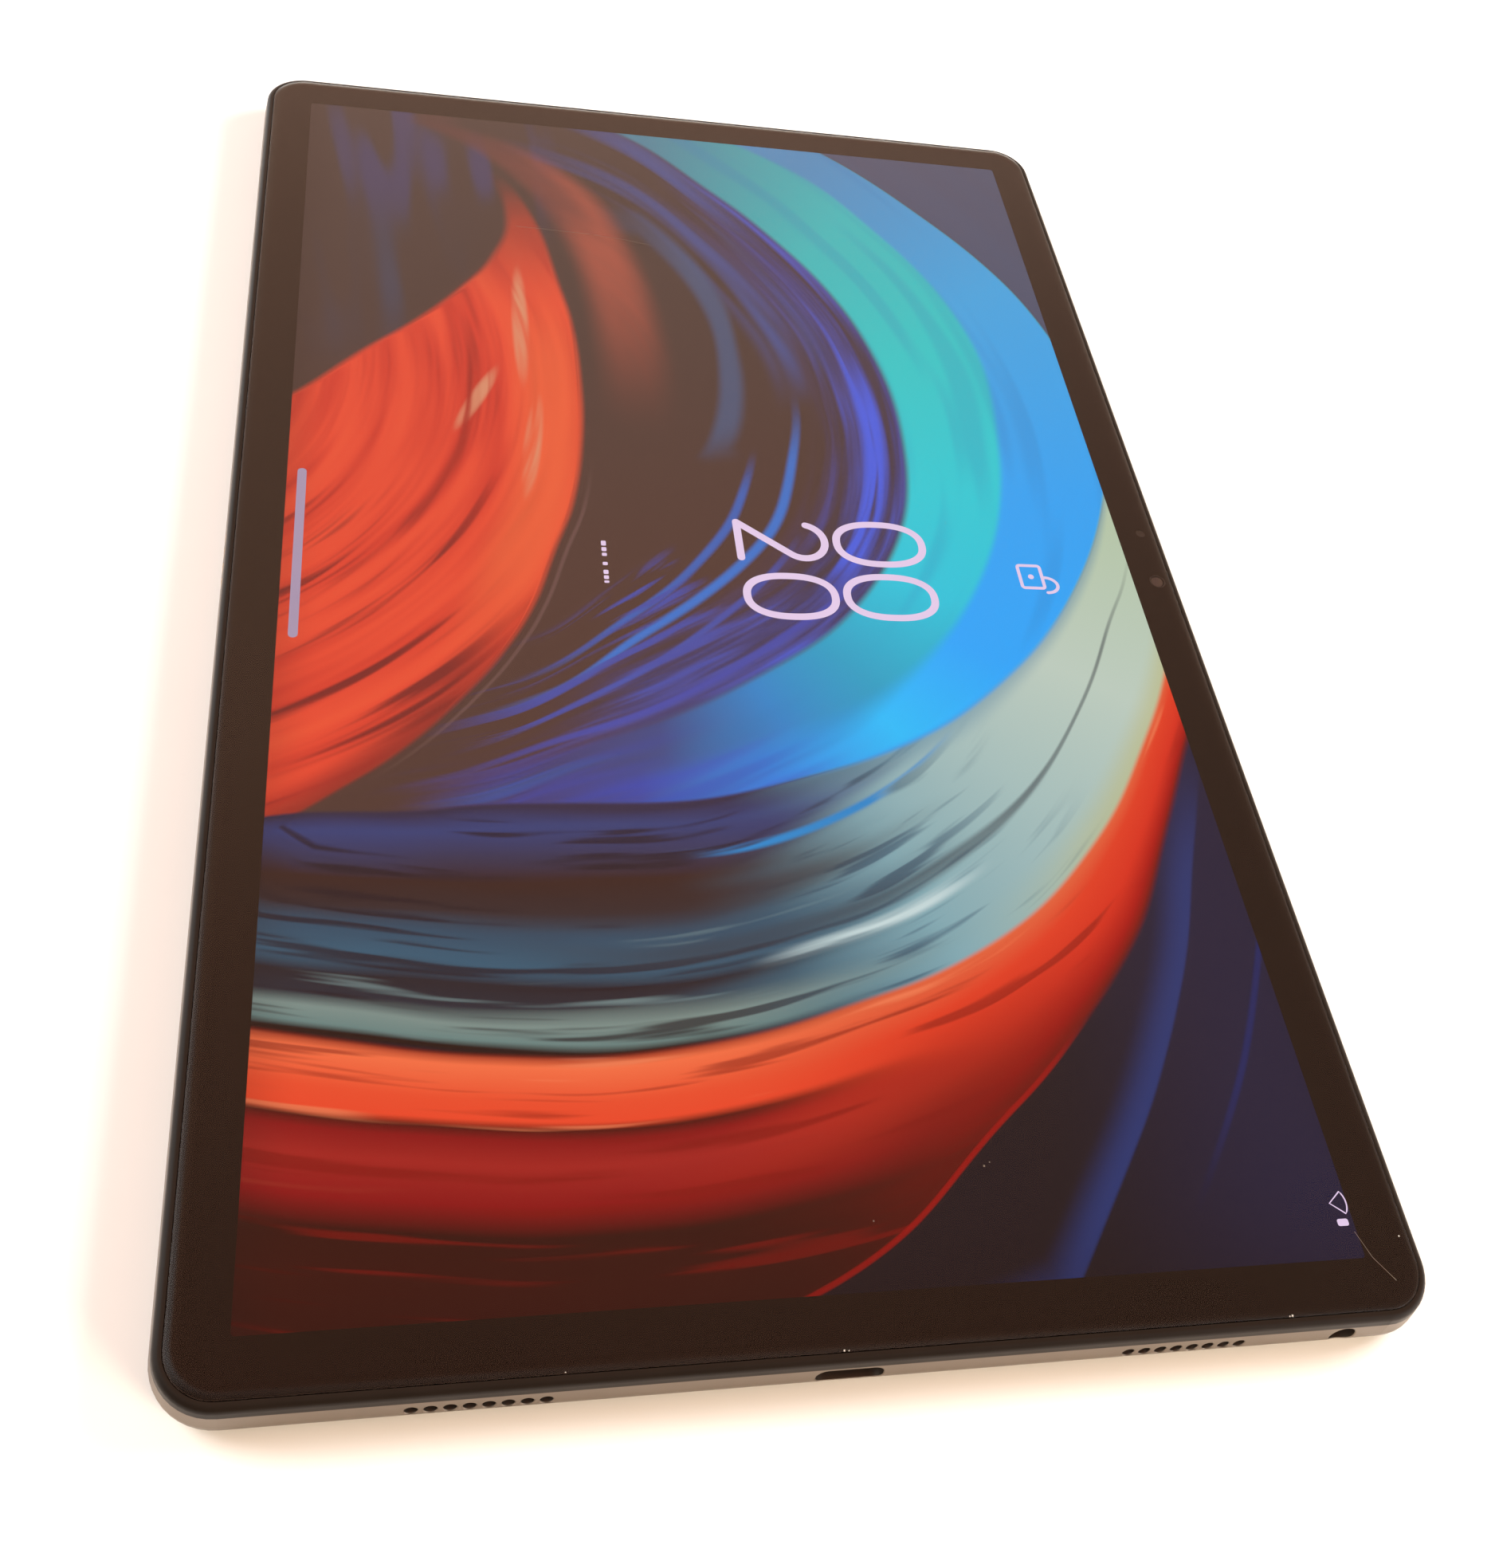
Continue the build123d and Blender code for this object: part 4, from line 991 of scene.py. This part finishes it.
def scratch(path, width=0.05):
    return pen_stroke(path, width, WEAR_BOTTOM, WEAR_TOP)


mesh_piece(
    "glass_marks",
    *joined(
        scratch([(74.4, -121.7), (75.8, -125.4)]),
        scratch([(75.8, -125.4), (76.6, -126.5), (78.2, -128.7)], 0.06),
        scratch([(-34.2, 89.0), (-27.0, 88.8), (-19.5, 88.4)], 0.05),
        scratch([(-18.6, 88.3), (-13.0, 87.6), (-7.5, 86.6)], 0.04),
        speck(22.1, -109.5, 0.20),
        speck(23.0, -109.0, 0.11),
        speck(5.2, -116.2, 0.14),
        speck(81.0, -122.7, 0.16),
        speck(41.0, 12.0, 0.08),
        speck(-12.0, -20.0, 0.07),
        speck(60.0, 60.0, 0.08),
        speck(61.2, -132.25, 0.20, 6.95, 7.12),
        speck(60.8, -132.30, 0.12, 6.95, 7.10),
        speck(-36.2, -132.25, 0.10, 6.95, 7.10),
        speck(-1.3, -132.25, 0.16, 6.95, 7.12),
        speck(-0.7, -132.30, 0.10, 6.95, 7.10),
    ),
    WEAR,
    "cover_glass",
)

# ---------------------------------------------------------------- room and light
scene = bpy.context.scene
scene.view_settings.view_transform = "Standard"

floor_mesh = bpy.data.meshes.new("floor")
REACH = 3.0
floor_mesh.from_pydata(
    [(-REACH, -REACH, 0), (REACH, -REACH, 0), (REACH, REACH, 0), (-REACH, REACH, 0)],
    [],
    [(0, 1, 2, 3)],
)
floor_plane = bpy.data.objects.new("floor", floor_mesh)
scene.collection.objects.link(floor_plane)
floor_mesh.materials.append(solid("floor_white", rgb(240, 236, 228), 0.6, 0.0, 0.01, 60.0))

world = bpy.data.worlds.new("room")
world.use_nodes = True
scene.world = world
sky_tree = world.node_tree
background = next(n for n in sky_tree.nodes if n.type == "BACKGROUND")
direction = sky_tree.nodes.new("ShaderNodeTexCoord")
apart = sky_tree.nodes.new("ShaderNodeSeparateXYZ")
sky_tree.links.new(direction.outputs["Generated"], apart.inputs[0])
from_x, from_y, height = [Field(sky_tree, apart.outputs[axis]) for axis in range(3)]
facing = from_x * 0.36 + from_y * 0.55 + height * 0.75
warm_wall = ramp(
    sky_tree,
    height,
    [
        (0.0, (0.84, 0.72, 0.60, 1)),
        (0.3, (0.58, 0.40, 0.30, 1)),
        (0.57, (0.50, 0.285, 0.197, 1)),
        (0.8, (0.54, 0.29, 0.185, 1)),
        (1.0, (0.27, 0.12, 0.07, 1)),
    ],
)
warm_wall = blend(sky_tree, from_x.step(0.1, 0.6) * 0.45, warm_wall, (0.0, 0.0, 0.0, 1.0))
behind = from_y * -0.85 - from_x * 0.35 + height * 0.4
room = blend(sky_tree, behind.step(0.35, 0.8), (0.86, 0.86, 0.85, 1.0), (0.08, 0.06, 0.045, 1.0))
sky_tree.links.new(
    blend(sky_tree, facing.step(0.36, 0.66), room, warm_wall), background.inputs["Color"]
)
background.inputs["Strength"].default_value = 2.3


def softbox(name, place, width, watts, colour):
    """A square lamp aimed at the object, which the glass doesn't mirror."""
    light = bpy.data.lights.new(name, "AREA")
    light.shape = "SQUARE"
    light.size = width
    light.energy = watts
    light.color = colour
    lamp = bpy.data.objects.new(name, light)
    lamp.location = place
    aim = -Vector(place)
    lamp.rotation_euler = aim.to_track_quat("-Z", "Y").to_euler()
    lamp.visible_glossy = False
    lamp.visible_transmission = False
    scene.collection.objects.link(lamp)


softbox("key_light", (1.15, 0.35, 0.6), 0.6, 28, (0.82, 0.91, 1.0))
softbox("fill_light", (-1.1, 0.5, 0.65), 0.7, 22, (0.82, 0.91, 1.0))
softbox("front_light", (0.9, -0.9, 0.4), 0.5, 24, (1.0, 0.82, 0.62))

# ------------------------------------------------------------------------ camera
CAMERA_PLACE = Vector((-55.6, -179.0, 199.7)) * MM
CAMERA_TARGET = Vector((-2.4, -44.0, 4.0)) * MM
CAMERA_ROLL = math.radians(-17.9)
camera_data = bpy.data.cameras.new("camera")
camera_data.lens = 35.28
camera_data.sensor_width = 36.0
camera_data.clip_start = 0.01
camera = bpy.data.objects.new("camera", camera_data)
scene.collection.objects.link(camera)
camera.location = CAMERA_PLACE
look = (CAMERA_TARGET - CAMERA_PLACE).normalized()
side = look.cross(Vector((0, 0, 1))).normalized()
upright = side.cross(look)
up = math.cos(CAMERA_ROLL) * upright + math.sin(CAMERA_ROLL) * side
across = look.cross(up)
camera.matrix_world = Matrix(
    (
        (across.x, up.x, -look.x, CAMERA_PLACE.x),
        (across.y, up.y, -look.y, CAMERA_PLACE.y),
        (across.z, up.z, -look.z, CAMERA_PLACE.z),
        (0, 0, 0, 1),
    )
)
scene.camera = camera
